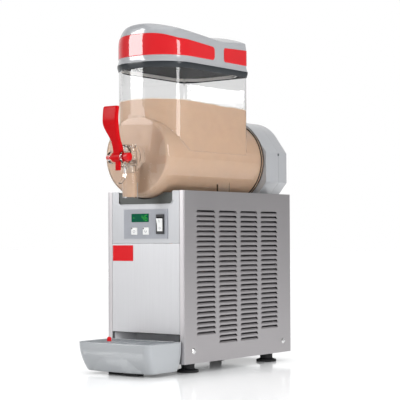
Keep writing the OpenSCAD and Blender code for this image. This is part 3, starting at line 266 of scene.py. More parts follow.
class Surface(Nodes):
    """A procedural material round one principled shader."""

    def __init__(self, name, colour, roughness, metallic=0.0):
        self.material = bpy.data.materials.new(name)
        materials[name] = self.material
        self.material.use_nodes = True
        super().__init__(self.material.node_tree)
        self.bsdf = self.tree.nodes["Principled BSDF"]
        self.colour = colour
        self.roughness = roughness
        self.set({"Base Color": (*colour, 1), "Roughness": roughness, "Metallic": metallic})
        self.place = self.node("ShaderNodeTexCoord").outputs["Object"]

    def set(self, values):
        """Constants of the shader's own sockets."""
        for key, value in values.items():
            self.bsdf.inputs[key].default_value = value

    def noise(self, scale, detail=4.0, rough=0.55):
        """Noise with one scale, or with its own scale along each axis."""
        axes = scale if isinstance(scale, (list, tuple)) else (scale, scale, scale)
        mapping = self.node("ShaderNodeMapping", {"Scale": axes})
        self.link(self.place, mapping.inputs["Vector"])
        field = self.node("ShaderNodeTexNoise", {"Scale": 1.0, "Detail": detail, "Roughness": rough})
        self.link(mapping.outputs["Vector"], field.inputs["Vector"])
        return field.outputs["Fac"]

    def tint(self, field, amount):
        """Makes the colour lighter and darker by amount where the field is high and low."""
        dark = [max(c * (1 - amount), 0) for c in self.colour]
        light = [min(c * (1 + amount), 1) for c in self.colour]
        mix = self.node("ShaderNodeMix", {"A": (*dark, 1), "B": (*light, 1)}, data_type="RGBA")
        self.link(self.spread(field, 0, 1), mix.inputs["Factor"])
        self.link(mix.outputs["Result"], self.bsdf.inputs["Base Color"])

    def vary_roughness(self, field, amount):
        low = max(self.roughness - amount, LEAST_ROUGHNESS)
        self.link(self.spread(field, low, self.roughness + amount), self.bsdf.inputs["Roughness"])

    def bump(self, field, height, edge=0.0):
        """Raises the surface by height, and rounds its sharp edges by the radius edge."""
        bump = self.node("ShaderNodeBump", {"Strength": 1.0, "Distance": height})
        self.link(field, bump.inputs["Height"])
        if edge:
            bevel = self.node("ShaderNodeBevel", {"Radius": edge}, samples=4)
            self.link(bevel.outputs["Normal"], bump.inputs["Normal"])
        self.link(bump.outputs["Normal"], self.bsdf.inputs["Normal"])

    def speckle(self, scale, amount, rough, height=0.00002):
        """Fine even grain in colour, roughness and height."""
        grain = self.noise(scale)
        self.tint(grain, amount)
        self.vary_roughness(self.noise(scale * 0.05), rough)
        self.bump(grain, height)


def brushed_steel(name, colour, roughness, along, streak=0.05):
    """Steel brushed along an axis, 0 to 2, with faint cloudy wear."""
    made = Surface(name, colour, roughness, 1.0)
    across, lengthwise = STEEL_GRAIN
    streaks = made.noise([lengthwise if axis == along else across for axis in range(3)], 5)
    made.tint(streaks, streak)
    made.vary_roughness(made.noise(14), 0.04)
    made.bump(streaks, 0.00001, STEEL_EDGE)
    return made.material


def moulded(name, colour, roughness, grain=900, amount=0.015, height=0.000008, coat=0.0, shine=0.5):
    """Moulded plastic with a fine eroded grain."""
    made = Surface(name, colour, roughness)
    made.speckle(grain, amount, 0.03, height)
    made.set({"Specular IOR Level": shine, "Coat Weight": coat, "Coat Roughness": 0.02, "Coat IOR": 1.65})
    return made.material


def clear_plastic():
    """Clear plastic that lets light through to what it holds."""
    made = Surface("clear_plastic", (1.0, 1.0, 1.0), 0.015)
    made.set({"Transmission Weight": 1.0, "IOR": 1.4})
    made.vary_roughness(made.noise(35), 0.01)
    through = made.node("ShaderNodeBsdfTransparent", {"Color": (0.98, 0.98, 0.98, 1)})
    shader = made.mix_shaders(made.rays("Shadow"), made.bsdf.outputs["BSDF"], through.outputs["BSDF"])
    made.link(shader, made.tree.nodes["Material Output"].inputs["Surface"])
    return made.material


def slush_mix():
    """Thick iced drink: cloudy beige with a little light in it."""
    made = Surface("slush_mix", (0.51, 0.355, 0.25), 0.5)
    made.tint(made.noise((40, 40, 60), 6, 0.6), 0.05)
    made.vary_roughness(made.noise(120), 0.1)
    made.bump(made.noise(420, 6), 0.0001)
    made.set({"Subsurface Weight": 0.2, "Subsurface Radius": (0.008, 0.005, 0.003)})
    return made.material


def froth():
    """Pale foam, speckled from beige to white."""
    made = Surface("froth", (0.74, 0.7, 0.65), 0.6)
    made.tint(made.noise(900, 3), 0.28)
    made.vary_roughness(made.noise(300), 0.15)
    made.bump(made.noise(1400, 3), 0.0003)
    return made.material


def glowing(name, colour, roughness, shine, grain, light, strength):
    """Glass or plastic that is lit a little from behind."""
    made = Surface(name, colour, roughness)
    made.speckle(*grain)
    made.set({"Specular IOR Level": shine, "Emission Color": (*light, 1), "Emission Strength": strength})
    return made.material


def painted_shade_liner():
    """White lining with painted shade that darkens its front edge."""
    made = Surface("painted_shade_liner", (0.85, 0.85, 0.87), 0.45)
    made.speckle(900, 0.03, 0.05)
    axes = made.node("ShaderNodeSeparateXYZ")
    made.link(made.place, axes.inputs["Vector"])
    inside = made.spread(axes.outputs["Y"], 0.0, 1.0, FRONT_Y + 2 * MM, FRONT_Y + 5 * MM)
    # Painted shade: the first few millimetres of the front edge are nearly black
    mix = made.node("ShaderNodeMix", {"A": (0.03, 0.03, 0.033, 1)}, data_type="RGBA")
    white = made.bsdf.inputs["Base Color"].links[0].from_socket
    made.link(inside, mix.inputs["Factor"])
    made.link(white, mix.inputs["B"])
    made.link(mix.outputs["Result"], made.bsdf.inputs["Base Color"])
    return made.material


def make_materials():
    """Materials of the record's slots."""
    brushed_steel("side_steel", (0.58, 0.557, 0.568), 0.33, 1, 0.03)
    brushed_steel("front_steel", (0.58, 0.58, 0.595), 0.38, 2)
    moulded("frame_metal", (0.33, 0.34, 0.35), 0.45, 200, 0.15)
    moulded("light_plastic", (0.37, 0.375, 0.39), 0.3, coat=0.8)
    moulded("tray_plastic", (0.33, 0.345, 0.36), 0.3, coat=1.0)
    moulded("red_plastic", (0.67, 0.005, 0.01), 0.3, 500, shine=0.2)
    moulded("dark_plastic", (0.03, 0.036, 0.042), 0.34)
    moulded("black_rubber", (0.012, 0.012, 0.013), 0.6, 1400, 0.2)
    moulded("black_plastic", (0.016, 0.016, 0.018), 0.3)
    moulded("white_plastic", (0.84, 0.84, 0.83), 0.25)
    clear_plastic()
    slush_mix()
    glowing("display_green", (0.001, 0.05, 0.026), 0.2, 0.08, (700, 0.12, 0.04), (0.0, 0.12, 0.06), 0.35)
    moulded("circuit_board", (0.01, 0.09, 0.03), 0.4, 300, 0.3)
    brushed_steel("cold_metal", (0.7, 0.71, 0.72), 0.3, 1)
    brushed_steel("fin_metal", (0.6, 0.61, 0.62), 0.35, 2)
    moulded("machine_black", (0.02, 0.02, 0.022), 0.35, 300, 0.2)
    brushed_steel("copper", (0.72, 0.35, 0.2), 0.3, 1)


def node_materials():
    """Materials of single solids whose finish is their own."""
    natural = moulded("natural_plastic", (0.5, 0.38, 0.29), 0.4)
    return {
        "lid_base": moulded("lid_base_plastic", (0.012, 0.014, 0.017), 0.6, shine=0.1),
        "recess_liner": painted_shade_liner(),
        "control_plate": moulded("control_plate", (0.335, 0.345, 0.378), 0.35),
        "front_panel_upper": brushed_steel("upper_steel", (0.455, 0.46, 0.475), 0.42, 2),
        # The deck is the panels' steel painted far darker: painted shade under the bowl, where it shows
        # through the cut-out
        "top_deck": brushed_steel("deck_steel_painted_shade", (0.1, 0.104, 0.1), 0.5, 1),
        "drip_grille": moulded("grille_plastic", (0.24, 0.26, 0.28), 0.4),
        "side_panel_screws": brushed_steel("bright_steel", (0.85, 0.85, 0.85), 0.15, 2),
        "tap_piston": natural,
        "piston_seals": natural,
    }


SMOOTH_ANGLE = 24


def smooth_modifier():
    """Geometry nodes that shade a tessellated solid smoothly up to an angle between its faces."""
    group = bpy.data.node_groups.new("smooth_by_angle", "GeometryNodeTree")
    for way in ("INPUT", "OUTPUT"):
        group.interface.new_socket("Geometry", in_out=way, socket_type="NodeSocketGeometry")
    nodes = Nodes(group)
    source = nodes.node("NodeGroupInput")
    bare = nodes.node("GeometryNodeRemoveAttribute", {"Name": "custom_normal"})
    weld = nodes.node("GeometryNodeMergeByDistance", {"Distance": WELD})
    faces = nodes.node("GeometryNodeSetShadeSmooth", domain="FACE")
    edges = nodes.node("GeometryNodeSetShadeSmooth", {"Shade Smooth": False}, domain="EDGE")
    chain = (source, bare, weld, faces, edges, nodes.node("NodeGroupOutput"))
    for before, after in zip(chain, chain[1:]):
        nodes.link(before.outputs[0], after.inputs[0])
    angle = nodes.node("GeometryNodeInputMeshEdgeAngle")
    steep = nodes.node("FunctionNodeCompare", {"B": math.radians(SMOOTH_ANGLE)}, operation="GREATER_THAN")
    nodes.link(angle.outputs["Unsigned Angle"], steep.inputs["A"])
    nodes.link(steep.outputs["Result"], edges.inputs["Selection"])
    return group


def dress_solids():
    """Gives every solid its slot's material and smooth round faces."""
    group = smooth_modifier()
    for row in frame["record"]["subparts"]:
        node = row["node"]
        shown = cad[node]
        shown.data.materials.clear()
        shown.data.materials.append(finishes.get(node) or materials[row["material_slot"]])
        modifier = shown.modifiers.new("smooth", "NODES")
        modifier.node_group = group


# Curves

def ease(t):
    c = min(max(t, 0), 1)
    return c * c * (3 - 2 * c)


def ramp(value, start, stop):
    """Rises smoothly from 0 at start to 1 at stop."""
    return ease((value - start) / (stop - start))


def between(ends, share):
    return ends[0] + (ends[1] - ends[0]) * share


def shares(steps):
    """Even shares from 0 to 1, with both."""
    return [i / steps for i in range(steps + 1)]


def spaced(start, stop, count):
    """Even places from start up to but without stop."""
    return [between((start, stop), share) for share in shares(count)[:-1]]


def edge_steps(ends, length, count):
    """Distances from nothing to a length: the same ones at both ends and count even steps between."""
    middle = spaced(ends[-1], length - ends[-1], count)[1:]
    return ends + middle + [length - e for e in reversed(ends)]


def arc(x, y, radius, start, steps):
    """Points of a quarter turn round a centre, from a direction in degrees."""
    turns = [math.radians(start + 90 * share) for share in shares(steps)]
    return [(x + radius * math.cos(t), y + radius * math.sin(t)) for t in turns]


def quarter(steps):
    """Cosine and sine over a quarter turn."""
    return arc(0, 0, 1, 0, steps)


def full_turn(steps):
    """Cosine and sine at even steps round a circle."""
    return [(math.cos(t), math.sin(t)) for t in spaced(0, 2 * math.pi, steps)]


def both_halves(right):
    """Closed outline from its right half."""
    return right + [(-x, y) for x, y in reversed(right)]


# Mesh helpers

class Shape:
    """Points and faces of one piece, in millimetres."""

    def __init__(self):
        self.points = []
        self.faces = []

    def cap(self, start, count):
        """Closes a ring straight across, from its one side to its other."""
        for i in range(count // 2 - 1):
            self.faces.append((start + i, start + i + 1, start + count - 2 - i, start + count - 1 - i))

    def loft(self, rings, joined=False):
        """Closed skin through rings of equal counts; joined links the last ring to the first."""
        start = len(self.points)
        count = len(rings[0])
        for ring in rings:
            self.points += ring
        for k in range(len(rings) if joined else len(rings) - 1):
            low = start + k * count
            high = start + (k + 1) % len(rings) * count
            for i in range(count):
                j = (i + 1) % count
                self.faces.append((low + i, low + j, high + j, high + i))
        if not joined:
            self.cap(start, count)
            self.cap(start + (len(rings) - 1) * count, count)
        return self

    def turned(self, profile, centre, axis, steps=64):
        """Closed profile of radius and length, turned about an axis 0 to 2 through a centre."""
        rings = []
        for c, s in full_turn(steps):
            spun = [(along, radius * c, radius * s) for radius, along in profile]
            rings.append([tuple(centre[k] + point[(k - axis) % 3] for k in range(3)) for point in spun])
        return self.loft(rings, joined=True)

    def cushion(self, low, high, radius, steps=4):
        """Box with rounded edges, from a low to a high corner."""
        radius = min([radius] + [(b - a) / 2 - TINY / 2 for a, b in zip(low, high)])
        levels = [(low[2] + radius * (1 - c), radius * (1 - s)) for c, s in quarter(steps)]
        levels += [(low[2] + high[2] - z, inset) for z, inset in reversed(levels)]
        return self.loft([round_box(low, high, inset, radius, z, steps) for z, inset in levels])

    def plate(self, corners, front, back):
        """Flat plate from an outline in width and height."""
        return self.loft([[(x, y, z) for x, z in corners] for y in (front, back)])

    def mesh(self, outwards=True):
        """Welded mesh, with its faces turned outwards or left as they are."""
        mesh = bpy.data.meshes.new("shape")
        mesh.from_pydata([at(*p) for p in self.points], [], self.faces)
        work = bmesh.new()
        work.from_mesh(mesh)
        bmesh.ops.remove_doubles(work, verts=work.verts, dist=WELD)
        if outwards:
            bmesh.ops.recalc_face_normals(work, faces=work.faces)
        work.to_mesh(mesh)
        work.free()
        return mesh


def round_box(low, high, inset, radius, z, steps):
    """Rounded rectangle seen from above, symmetric about its middle in x."""
    middle = (low[0] + high[0]) / 2
    half = (high[0] - low[0]) / 2 - inset
    front, rear = low[1] + inset, high[1] - inset
    bend = max(radius - inset, TINY)
    right = [(TINY, front)] + arc(half - bend, front + bend, bend, -90, steps)
    right += arc(half - bend, rear - bend, bend, 0, steps) + [(TINY, rear)]
    return [(middle + x, y, z) for x, y in both_halves(right)]


def make_piece(name, mesh, body, slot, material=None, sharp=32):
    """Piece on a body, shaded smoothly up to an angle between its faces."""
    mesh.name = name
    mesh.polygons.foreach_set("use_smooth", [True] * len(mesh.polygons))
    mesh.set_sharp_from_angle(angle=math.radians(sharp))
    mesh.materials.clear()
    mesh.materials.append(material or materials[slot])
    made = add_object(name, mesh)
    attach(made, body)
    return made


def applied(made):
    """Mesh of an object with its modifiers applied; the object itself goes."""
    bpy.context.view_layer.update()
    graph = bpy.context.evaluated_depsgraph_get()
    result = bpy.data.meshes.new_from_object(made.evaluated_get(graph))
    bpy.data.objects.remove(made)
    return result


def combine(first, second, operation):
    """Mesh of one mesh joined to another or cut by it."""
    target = add_object("target", first)
    tool = add_object("tool", second)
    modifier = target.modifiers.new("combine", "BOOLEAN")
    modifier.object = tool
    modifier.operation = operation
    modifier.solver = "EXACT"
    result = applied(target)
    bpy.data.objects.remove(tool)
    return result


# Outline of the tank and the lid, by the distance along it from the middle of its front

FRONT_FLAT = TANK_HALF - TANK_FRONT_R
ARC_END = FRONT_FLAT + TANK_FRONT_R * math.pi / 2
ARC_Y = TANK_FRONT_R - TANK_FRONT
SIDE_END = ARC_END + TANK_REAR - TANK_REAR_R - ARC_Y
CORNER_END = SIDE_END + TANK_REAR_R * math.pi / 2
OUTLINE_END = CORNER_END + TANK_HALF - TANK_REAR_R
LEAST_BEND = 2.0


def outline(along, out):
    """Place on the outline moved outwards by out; along is negative on the left."""
    s = abs(along)
    half, front, rear = TANK_HALF + out, -TANK_FRONT - out, TANK_REAR + out
    bend, corner = max(TANK_FRONT_R + out, LEAST_BEND), max(TANK_REAR_R + out, LEAST_BEND)
    if s <= FRONT_FLAT:
        x, y = (half - bend) * s / FRONT_FLAT, front
    elif s <= ARC_END:
        turn = (s - FRONT_FLAT) / TANK_FRONT_R
        x, y = half - bend + bend * math.sin(turn), front + bend - bend * math.cos(turn)
    elif s <= SIDE_END:
        share = (s - ARC_END) / (SIDE_END - ARC_END)
        x, y = half, between((front + bend, rear - corner), share)
    elif s <= CORNER_END:
        turn = (s - SIDE_END) / TANK_REAR_R
        x, y = half - corner + corner * math.cos(turn), rear - corner + corner * math.sin(turn)
    else:
        x, y = (half - corner) * (OUTLINE_END - s) / (OUTLINE_END - CORNER_END), rear
    return math.copysign(x, along), y


def outline_stops():
    """Distances along the right half of the outline, closer together on its bends."""
    end = 0.5
    stops = spaced(end, FRONT_FLAT, 4) + spaced(FRONT_FLAT, ARC_END, 56) + spaced(ARC_END, SIDE_END, 48)
    stops += spaced(SIDE_END, CORNER_END, 12) + spaced(CORNER_END, OUTLINE_END - end, 20)
    return stops + [OUTLINE_END - end]


def outline_ring(out, height):
    """Ring on the outline; height is a number or a function of x and y."""
    flat = both_halves([outline(s, out) for s in outline_stops()])
    if callable(height):
        return [(x, y, height(x, y)) for x, y in flat]
    return [(x, y, height) for x, y in flat]


# Lid

LID_WALL_OUT = 0.6
LID_OVER = 3.6
LID_H = 82.0
LID_SIDE_FALL = 18.5
LID_NOSE_FALL = 3.5
LID_REAR_FALL = 11.5
LID_TAIL_RISE = 8.0
FLARE_H = 12.0
SHOULDER_FRONT = (14.0, 34.0)
SHOULDER_REAR = (3.0, 18.0)
SHELL_WALL = 4.0
SHELL_POCKET = 34.0
PLATE_T = 1.0
PLATE_SUNK = 0.5
PLATE_EDGE = 1.1
PLATE_LOW = SHELL_Z + FLARE_H + 0.8
PLATE_STEP = 3.0
PLATE_ROWS = 12
PLATE_ENDS = [0, 0.08, 0.25, 0.5, 0.85, 1.3, 2, 3, 4.2, 5.6, 7]
BAND_END = ARC_END + 123.0 - ARC_Y
BAND_CORNER = 7.0
BAND_H = 47.7
BAND_NOSE_RISE = 9.8
BAND_SLOPE = 0.07
BACK_START = ARC_END + 156.0 - ARC_Y
BACK_END = CORNER_END + 14.0
BACK_CORNERS = (6.0, 2.0)
BACK_H = 43.0
BACK_RISE = 3.5
BACK_RUN = (162.0, 248.0)
HEM_Z = 612.0
GASKET_Z = 613.8
GASKET_R = 55.0


def lid_top(x, y):
    """Height of the lid's crowned top."""
    height = SHELL_Z + LID_H - LID_SIDE_FALL * (x / TANK_HALF) ** 2
    height -= LID_NOSE_FALL * (max(ARC_Y - y, 0) / TANK_FRONT_R) ** 2
    return height - LID_REAR_FALL * ramp(y, 4, 210) + LID_TAIL_RISE * ramp(y, 140, 230)


def shoulder(y):
    """Width and height of the rounded shoulder at a depth."""
    return [between(ends, ramp(y, -20, 140)) for ends in zip(SHOULDER_FRONT, SHOULDER_REAR)]


def lid_ring(inset):
    """Ring of the lid's top at a distance in from its wall."""
    def height(x, y):
        width, drop = shoulder(y)
        t = 1 - min(inset / width, 1)
        return lid_top(x, y) - drop * (1 - math.sqrt(1 - t * t))
    return outline_ring(LID_WALL_OUT - inset, height)


def wall_point(along, z, out):
    """Place on the lid's wall at a height, on the lid grown by out."""
    inset = 0.0
    for _ in range(5):
        x, y = outline(along, LID_WALL_OUT + out - inset)
        width, drop = shoulder(y)
        share = 1 - (lid_top(x, y) + out - z) / drop
        inset = width * (1 - math.sqrt(max(1 - share * share, 0))) if share > 0 else 0.0
    return (x, y, z)


def make_lid_shell():
    flare_steps, bend_steps, crown_steps = 10, 26, 24
    inside = LID_WALL_OUT - SHELL_WALL
    rings = [outline_ring(inside, SHELL_Z + SHELL_POCKET), outline_ring(inside, SHELL_Z)]
    for share in shares(flare_steps):
        out = between((LID_WALL_OUT, LID_OVER), (1 - share) ** 2)
        rings.append(outline_ring(out, SHELL_Z + FLARE_H * share))
    bend, spine = SHOULDER_FRONT[0], TANK_HALF - 6
    rings += [lid_ring(bend * share ** 2) for share in shares(bend_steps)]
    rings += [lid_ring(between((bend, spine), share)) for share in shares(crown_steps)[1:]]
    piece = make_piece("lid_cover", Shape().loft(rings).mesh(), "lid", "light_plastic", sharp=40)
    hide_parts("lid_shell")


def lid_plate(shape, start, stop, high, corners):
    """Thin plate on the lid's wall with soft edges; corners gives the radius at each end."""
    length = stop - start
    rings = []
    for along in [start + d for d in edge_steps(PLATE_ENDS, length, int(length / PLATE_STEP))]:
        end = min(along - start, stop - along)
        radius = corners[0] if along - start < stop - along else corners[1]
        gone = max(radius - end, 0)
        cut = radius - math.sqrt(radius * radius - gone * gone)
        bottom, top = PLATE_LOW + cut, high(outline(along, 0)[1]) - cut
        outer, inner = [], []
        for up in edge_steps(PLATE_ENDS, top - bottom, PLATE_ROWS):
            near = min(up, top - bottom - up, end + cut * 0.3)
            full = 1 - min(near / PLATE_EDGE, 1)
            out = (PLATE_T + PLATE_SUNK / 2) * math.sqrt(1 - full * full) - PLATE_SUNK / 2
            outer.append(wall_point(along, bottom + up, out))
            inner.append(wall_point(along, bottom + up, -PLATE_SUNK))
        rings.append(outer + inner[::-1])
    shape.loft(rings)


def band_high(y):
    """Upper edge of the red band, which is highest at the front."""
    nose = 1 - ramp(y, -TANK_FRONT - 2, 48 - TANK_FRONT)
    return SHELL_Z + BAND_H + BAND_NOSE_RISE * nose - BAND_SLOPE * max(y - 20, 0)


def back_high(y):
    """Upper edge of the rear plates, which rises to the rear."""
    return SHELL_Z + BACK_H + BACK_RISE * (y - BACK_RUN[0]) / (BACK_RUN[1] - BACK_RUN[0])


def make_lid_plates():
    gloss = moulded("red_gloss", (0.6, 0.004, 0.009), 0.3, 500, 0.02, 0.000004, coat=1.0, shine=0.1)
    band = Shape()
    lid_plate(band, -BAND_END, BAND_END, band_high, (BAND_CORNER, BAND_CORNER))
    piece = make_piece("lid_front_band", band.mesh(), "lid", "red_plastic", gloss)
    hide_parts("lid_band")
    plates = Shape()
    lid_plate(plates, BACK_START, BACK_END, back_high, BACK_CORNERS)
    lid_plate(plates, -BACK_END, -BACK_START, back_high, BACK_CORNERS[::-1])
    piece = make_piece("lid_back_plates", plates.mesh(), "lid", "red_plastic", gloss)
    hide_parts("lid_rear_plates")


def gasket_ring(inset, z):
    """Ring inside the tank's wall that takes the rear corners in a wide bend."""
    half, front, rear = TANK_HALF - inset, inset - TANK_FRONT, TANK_REAR - inset
    nose, tail, middle = TANK_FRONT_R - inset, GASKET_R - inset, 0.4
    right = [(middle, front)] + arc(half - nose, front + nose, nose, -90, 32)
    right += arc(half - tail, rear - tail, tail, 0, 32) + [(middle, rear)]
    return [(x, y, z) for x, y in both_halves(right)]


def make_lid_edge():
    """White gasket inside the tank's rim, and the dark skirt that hangs outside it."""
    outer, inner, soft, top = 3.4, 6.1, 0.6, RIM_Z + 0.2
    profile = [(outer, top), (outer, GASKET_Z + soft), (outer + soft, GASKET_Z), (inner - soft, GASKET_Z),
               (inner, GASKET_Z + soft), (inner, top)]
    gasket = Shape().loft([gasket_ring(inset, z) for inset, z in profile], joined=True)
    piece = make_piece("lid_gasket", gasket.mesh(), "lid", "white_plastic")
    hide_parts("lid_seal")
    near, far, over, low, lip = 0.5, 2.0, LID_OVER + 0.1, RIM_Z - 5.5, SHELL_Z - 0.1
    profile = [(near, low), (near, HEM_Z + 0.3), (near + 0.3, HEM_Z), (far - 0.8, HEM_Z),
               (far - 0.4, HEM_Z + 0.4), (far + 0.1, low), (over, RIM_Z), (over, lip), (over - 1, lip),
               (over - 1, RIM_Z), (far - 0.8, low)]
    skirt = Shape().loft([outline_ring(out, z) for out, z in profile], joined=True)
    gloss = moulded("skirt_plastic", (0.022, 0.026, 0.03), 0.2, shine=0.35)
    make_piece("lid_skirt", skirt.mesh(), "lid", "dark_plastic", gloss)


# Slush and froth, which touch the clear wall

CONTACT = 0.15
SLUSH_INSET = BOWL_WALL - CONTACT
SLUSH_FALL = 7.5
SLUSH_RUN = 271.0
CAVITY_R = 77.5
CAVITY_FRONT = -11.0
FROTH_STEP = 1.5
FROTH_DROPS = 340


def slush_level(x, y):
    """Height of the slush, which sinks a little to the rear and is uneven."""
    rough = noise.noise(Vector((x * 0.03, y * 0.03, 1.7)))
    fine = noise.noise(Vector((x * 0.13, y * 0.13, 9.2)))
    return SLUSH_Z + 2 - SLUSH_FALL * (y + TANK_FRONT) / SLUSH_RUN + 1.2 * rough + 0.5 * fine


def barrel_profile(inset):
    """Radius and depth from the middle of the disc to the barrel's rounded edge."""
    front = inset - BOWL_FRONT
    edge = [(FACE_R - inset + (BOWL_R - FACE_R) * s, front + NOSE_L * (1 - c)) for c, s in quarter(16)]
    return [(0.0, front)] + edge


def make_slush():
    axis = (0, 0, AXIS_Z)
    rear = BOWL_REAR - 0.2
    past = rear + 5
    barrel = barrel_profile(SLUSH_INSET) + [(BOWL_R - SLUSH_INSET, rear), (0, rear)]
    body = Shape().turned(barrel, axis, 1, 128)
    gaps = (0, 2, 5, 10, 17, 26, 36, 46, 56, 66, 75)
    tops = [outline_ring(-SLUSH_INSET - gap, slush_level) for gap in gaps]
    tank = Shape().loft([outline_ring(-SLUSH_INSET, AXIS_Z)] + tops)
    bore = [(0, CAVITY_FRONT), (CAVITY_R, CAVITY_FRONT), (CAVITY_R, past), (0, past)]
    cavity = Shape().turned(bore, axis, 1, 96)
    filled = combine(body.mesh(), tank.mesh(), "UNION")
    mesh = combine(filled, cavity.mesh(), "DIFFERENCE")
    piece = make_piece("slush_fill", mesh, "cabinet", "slush_mix")
    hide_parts("slush")


def froth_ring(along):
    """Section of the foam against the wall at a distance along the outline."""
    level = slush_level(*outline(along, -SLUSH_INSET))
    rise = 1.0 + 1.8 * abs(noise.noise(Vector((along * 0.11, 3.1, 0))))
    rise += 1.6 * max(noise.noise(Vector((along * 0.43, 7.7, 0))), 0)
    width = 2.0 + 3.0 * abs(noise.noise(Vector((along * 0.09, 0, 5.5))))
    profile = [(1.0, -2), (0, 0.1), (0, rise), (0.5, rise + 0.4), (width * 0.6, rise * 0.6),
               (width, -0.2), (width * 0.8, -2)]
    return [(*outline(along, -SLUSH_INSET - d), level + h) for d, h in profile]


def make_froth():
    """Rim of foam along the wall, with single bubbles on it."""
    count = int(2 * OUTLINE_END / FROTH_STEP)
    places = [2 * OUTLINE_END * (i + 0.5) / count - OUTLINE_END for i in range(count)]
    shape = Shape().loft([froth_ring(along) for along in places], joined=True)
    ball = [(math.sin(math.pi * share), -math.cos(math.pi * share)) for share in shares(5)]
    drops = random.Random(4)
    for _ in range(FROTH_DROPS):
        along = drops.uniform(-OUTLINE_END, OUTLINE_END)
        radius = drops.uniform(0.4, 1.2)
        x, y = outline(along, -SLUSH_INSET - radius * 0.8)
        z = slush_level(x, y) + drops.uniform(0.2, 3.4)
        shape.turned([(radius * s, radius * c) for s, c in ball], (x, y, z), 2, 8)
    make_piece("slush_froth", shape.mesh(), "cabinet", "slush_mix", froth(), sharp=60)


# Tap

LEVER_H = 100.0
LEVER_W = (22.5, 38.0)
LEVER_T = (12.0, 9.5)
LEVER_LEAN = 23.0
LEVER_TIP_LEAN = 3.0
LEVER_TIP_R = 4.0
LEVER_TIP_THIN = 3.4
# Height, half width and depth of the groove across the lever
LEVER_GROOVE = (31.0, 0.7, 0.8)
HUB_BORE = 4.1
HUB_R = 9.5
HUB_HALF = 12.0
TAIL_L = 24.0
TAIL_W = 12.0
TAIL_T = (9.0, 5.0)
ARM_L = 29.0
ARM_LEAN = math.radians(-14)
ARM_HALF = (2.7, 2.4)
ARM_END_R = 3.0


def lever_ring(width, thick, y, z, steps=8):
    """Rounded rectangle across the lever."""
    radius = thick / 2 - 0.5
    a, b = width / 2 - radius, thick / 2 - radius
    flat = both_halves(arc(a, -b, radius, -90, steps) + arc(a, b, radius, 0, steps))
    return [(x, y + depth, z) for x, depth in flat]


def lever_section(up, thin):
    """Section of the blade at a height above the pivot, drawn in by thin."""
    lean = LEVER_LEAN * ramp(up, 10, 72) - LEVER_TIP_LEAN * (max(up - 70, 0) / 30) ** 2
    width = between(LEVER_W, ramp(up, 30, 68)) - 2 * thin
    thick = between(LEVER_T, ramp(up, 20, 60)) - thin
    return lever_ring(width, thick, PIVOT[0] - lean, PIVOT[1] + up)


def lever_blade(shape):
    """Broad blade above the pivot, with a groove across it and a round tip."""
    tip = LEVER_H - LEVER_TIP_R
    sections = [(up, 0.0) for up in spaced(2, 30, 16) + spaced(32, tip, 44)]
    up, half, deep = LEVER_GROOVE
    sections += [(up - half, 0.0), (up - half * 0.6, deep), (up + half * 0.6, deep), (up + half, 0.0)]
    sections += [(tip + LEVER_TIP_R * s, LEVER_TIP_THIN * (1 - c)) for c, s in quarter(6)]
    shape.loft([lever_section(up, thin) for up, thin in sorted(sections)])


def lever_tail(shape):
    """Short tail below the pivot, with a flat end."""
    top, lean, steps = PIVOT[1] - 2, 0.5, 8
    rings = []
    for share in shares(steps):
        y, z = PIVOT[0] - lean * share, top - TAIL_L * share
        rings.append(lever_ring(TAIL_W, between(TAIL_T, share), y, z))
    rings.append(lever_ring(TAIL_W - 1.5, TAIL_T[1] - 1.4, y, z))
    shape.loft(rings)


def lever_arm(shape):
    """Arm that reaches back from the pivot to the piston, with a round end."""
    w, h = ARM_HALF
    end = (0, PIVOT[0] + ARM_L * math.cos(ARM_LEAN), PIVOT[1] + ARM_L * math.sin(ARM_LEAN))
    section = ((w, -h), (w, h), (-w, h), (-w, -h))
    shape.loft([[(x, y, z + rise) for x, rise in section] for _, y, z in ((0, *PIVOT), end)])
    r, soft = ARM_END_R, ARM_END_R - 0.4
    shape.turned([(0, -r), (soft, -r), (r, -soft), (r, soft), (soft, r), (0, r)], end, 0, 32)


def make_lever():
    shape = Shape()
    lever_blade(shape)
    soft = 0.8
    shape.turned([(HUB_BORE, -HUB_HALF), (HUB_R - soft, -HUB_HALF), (HUB_R, soft - HUB_HALF),
                  (HUB_R, HUB_HALF - soft), (HUB_R - soft, HUB_HALF), (HUB_BORE, HUB_HALF)], (0, *PIVOT), 0)
    lever_tail(shape)
    lever_arm(shape)
    gloss = moulded("red_lever", (0.52, 0.003, 0.006), 0.22, 500, 0.02, 0.000004, shine=0.06)
    piece = make_piece("tap_handle", shape.mesh(), "lever", "red_plastic", gloss)
    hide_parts("tap_lever")


def make_pivot_pin():
    pin_r, head_r, bend, tail_x, head_x, end_x = 4.0, 8.4, 2.0, -29.6, 18.6, 30.6
    profile = [(0, tail_x), (pin_r - 1, tail_x), (pin_r, tail_x + 1), (pin_r, head_x), (head_r - 0.6, head_x),
               (head_r, head_x + 0.6)]
    profile += arc(head_r - bend, end_x - bend - 0.4, bend, 0, 6) + [(4, end_x), (0, end_x)]
    pin = Shape().turned(profile, (0, *PIVOT), 0)
    # Darker red than the badge's red plastic: painted shade that offsets the fill lamp's light on the knob
    gloss = moulded("red_knob_painted_shade", (0.55, 0.004, 0.008), 0.25, 500, shine=0.25)
    piece = make_piece("pivot_knob", pin.mesh(), "cabinet", "red_plastic", gloss)
    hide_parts("tap_pivot_pin")


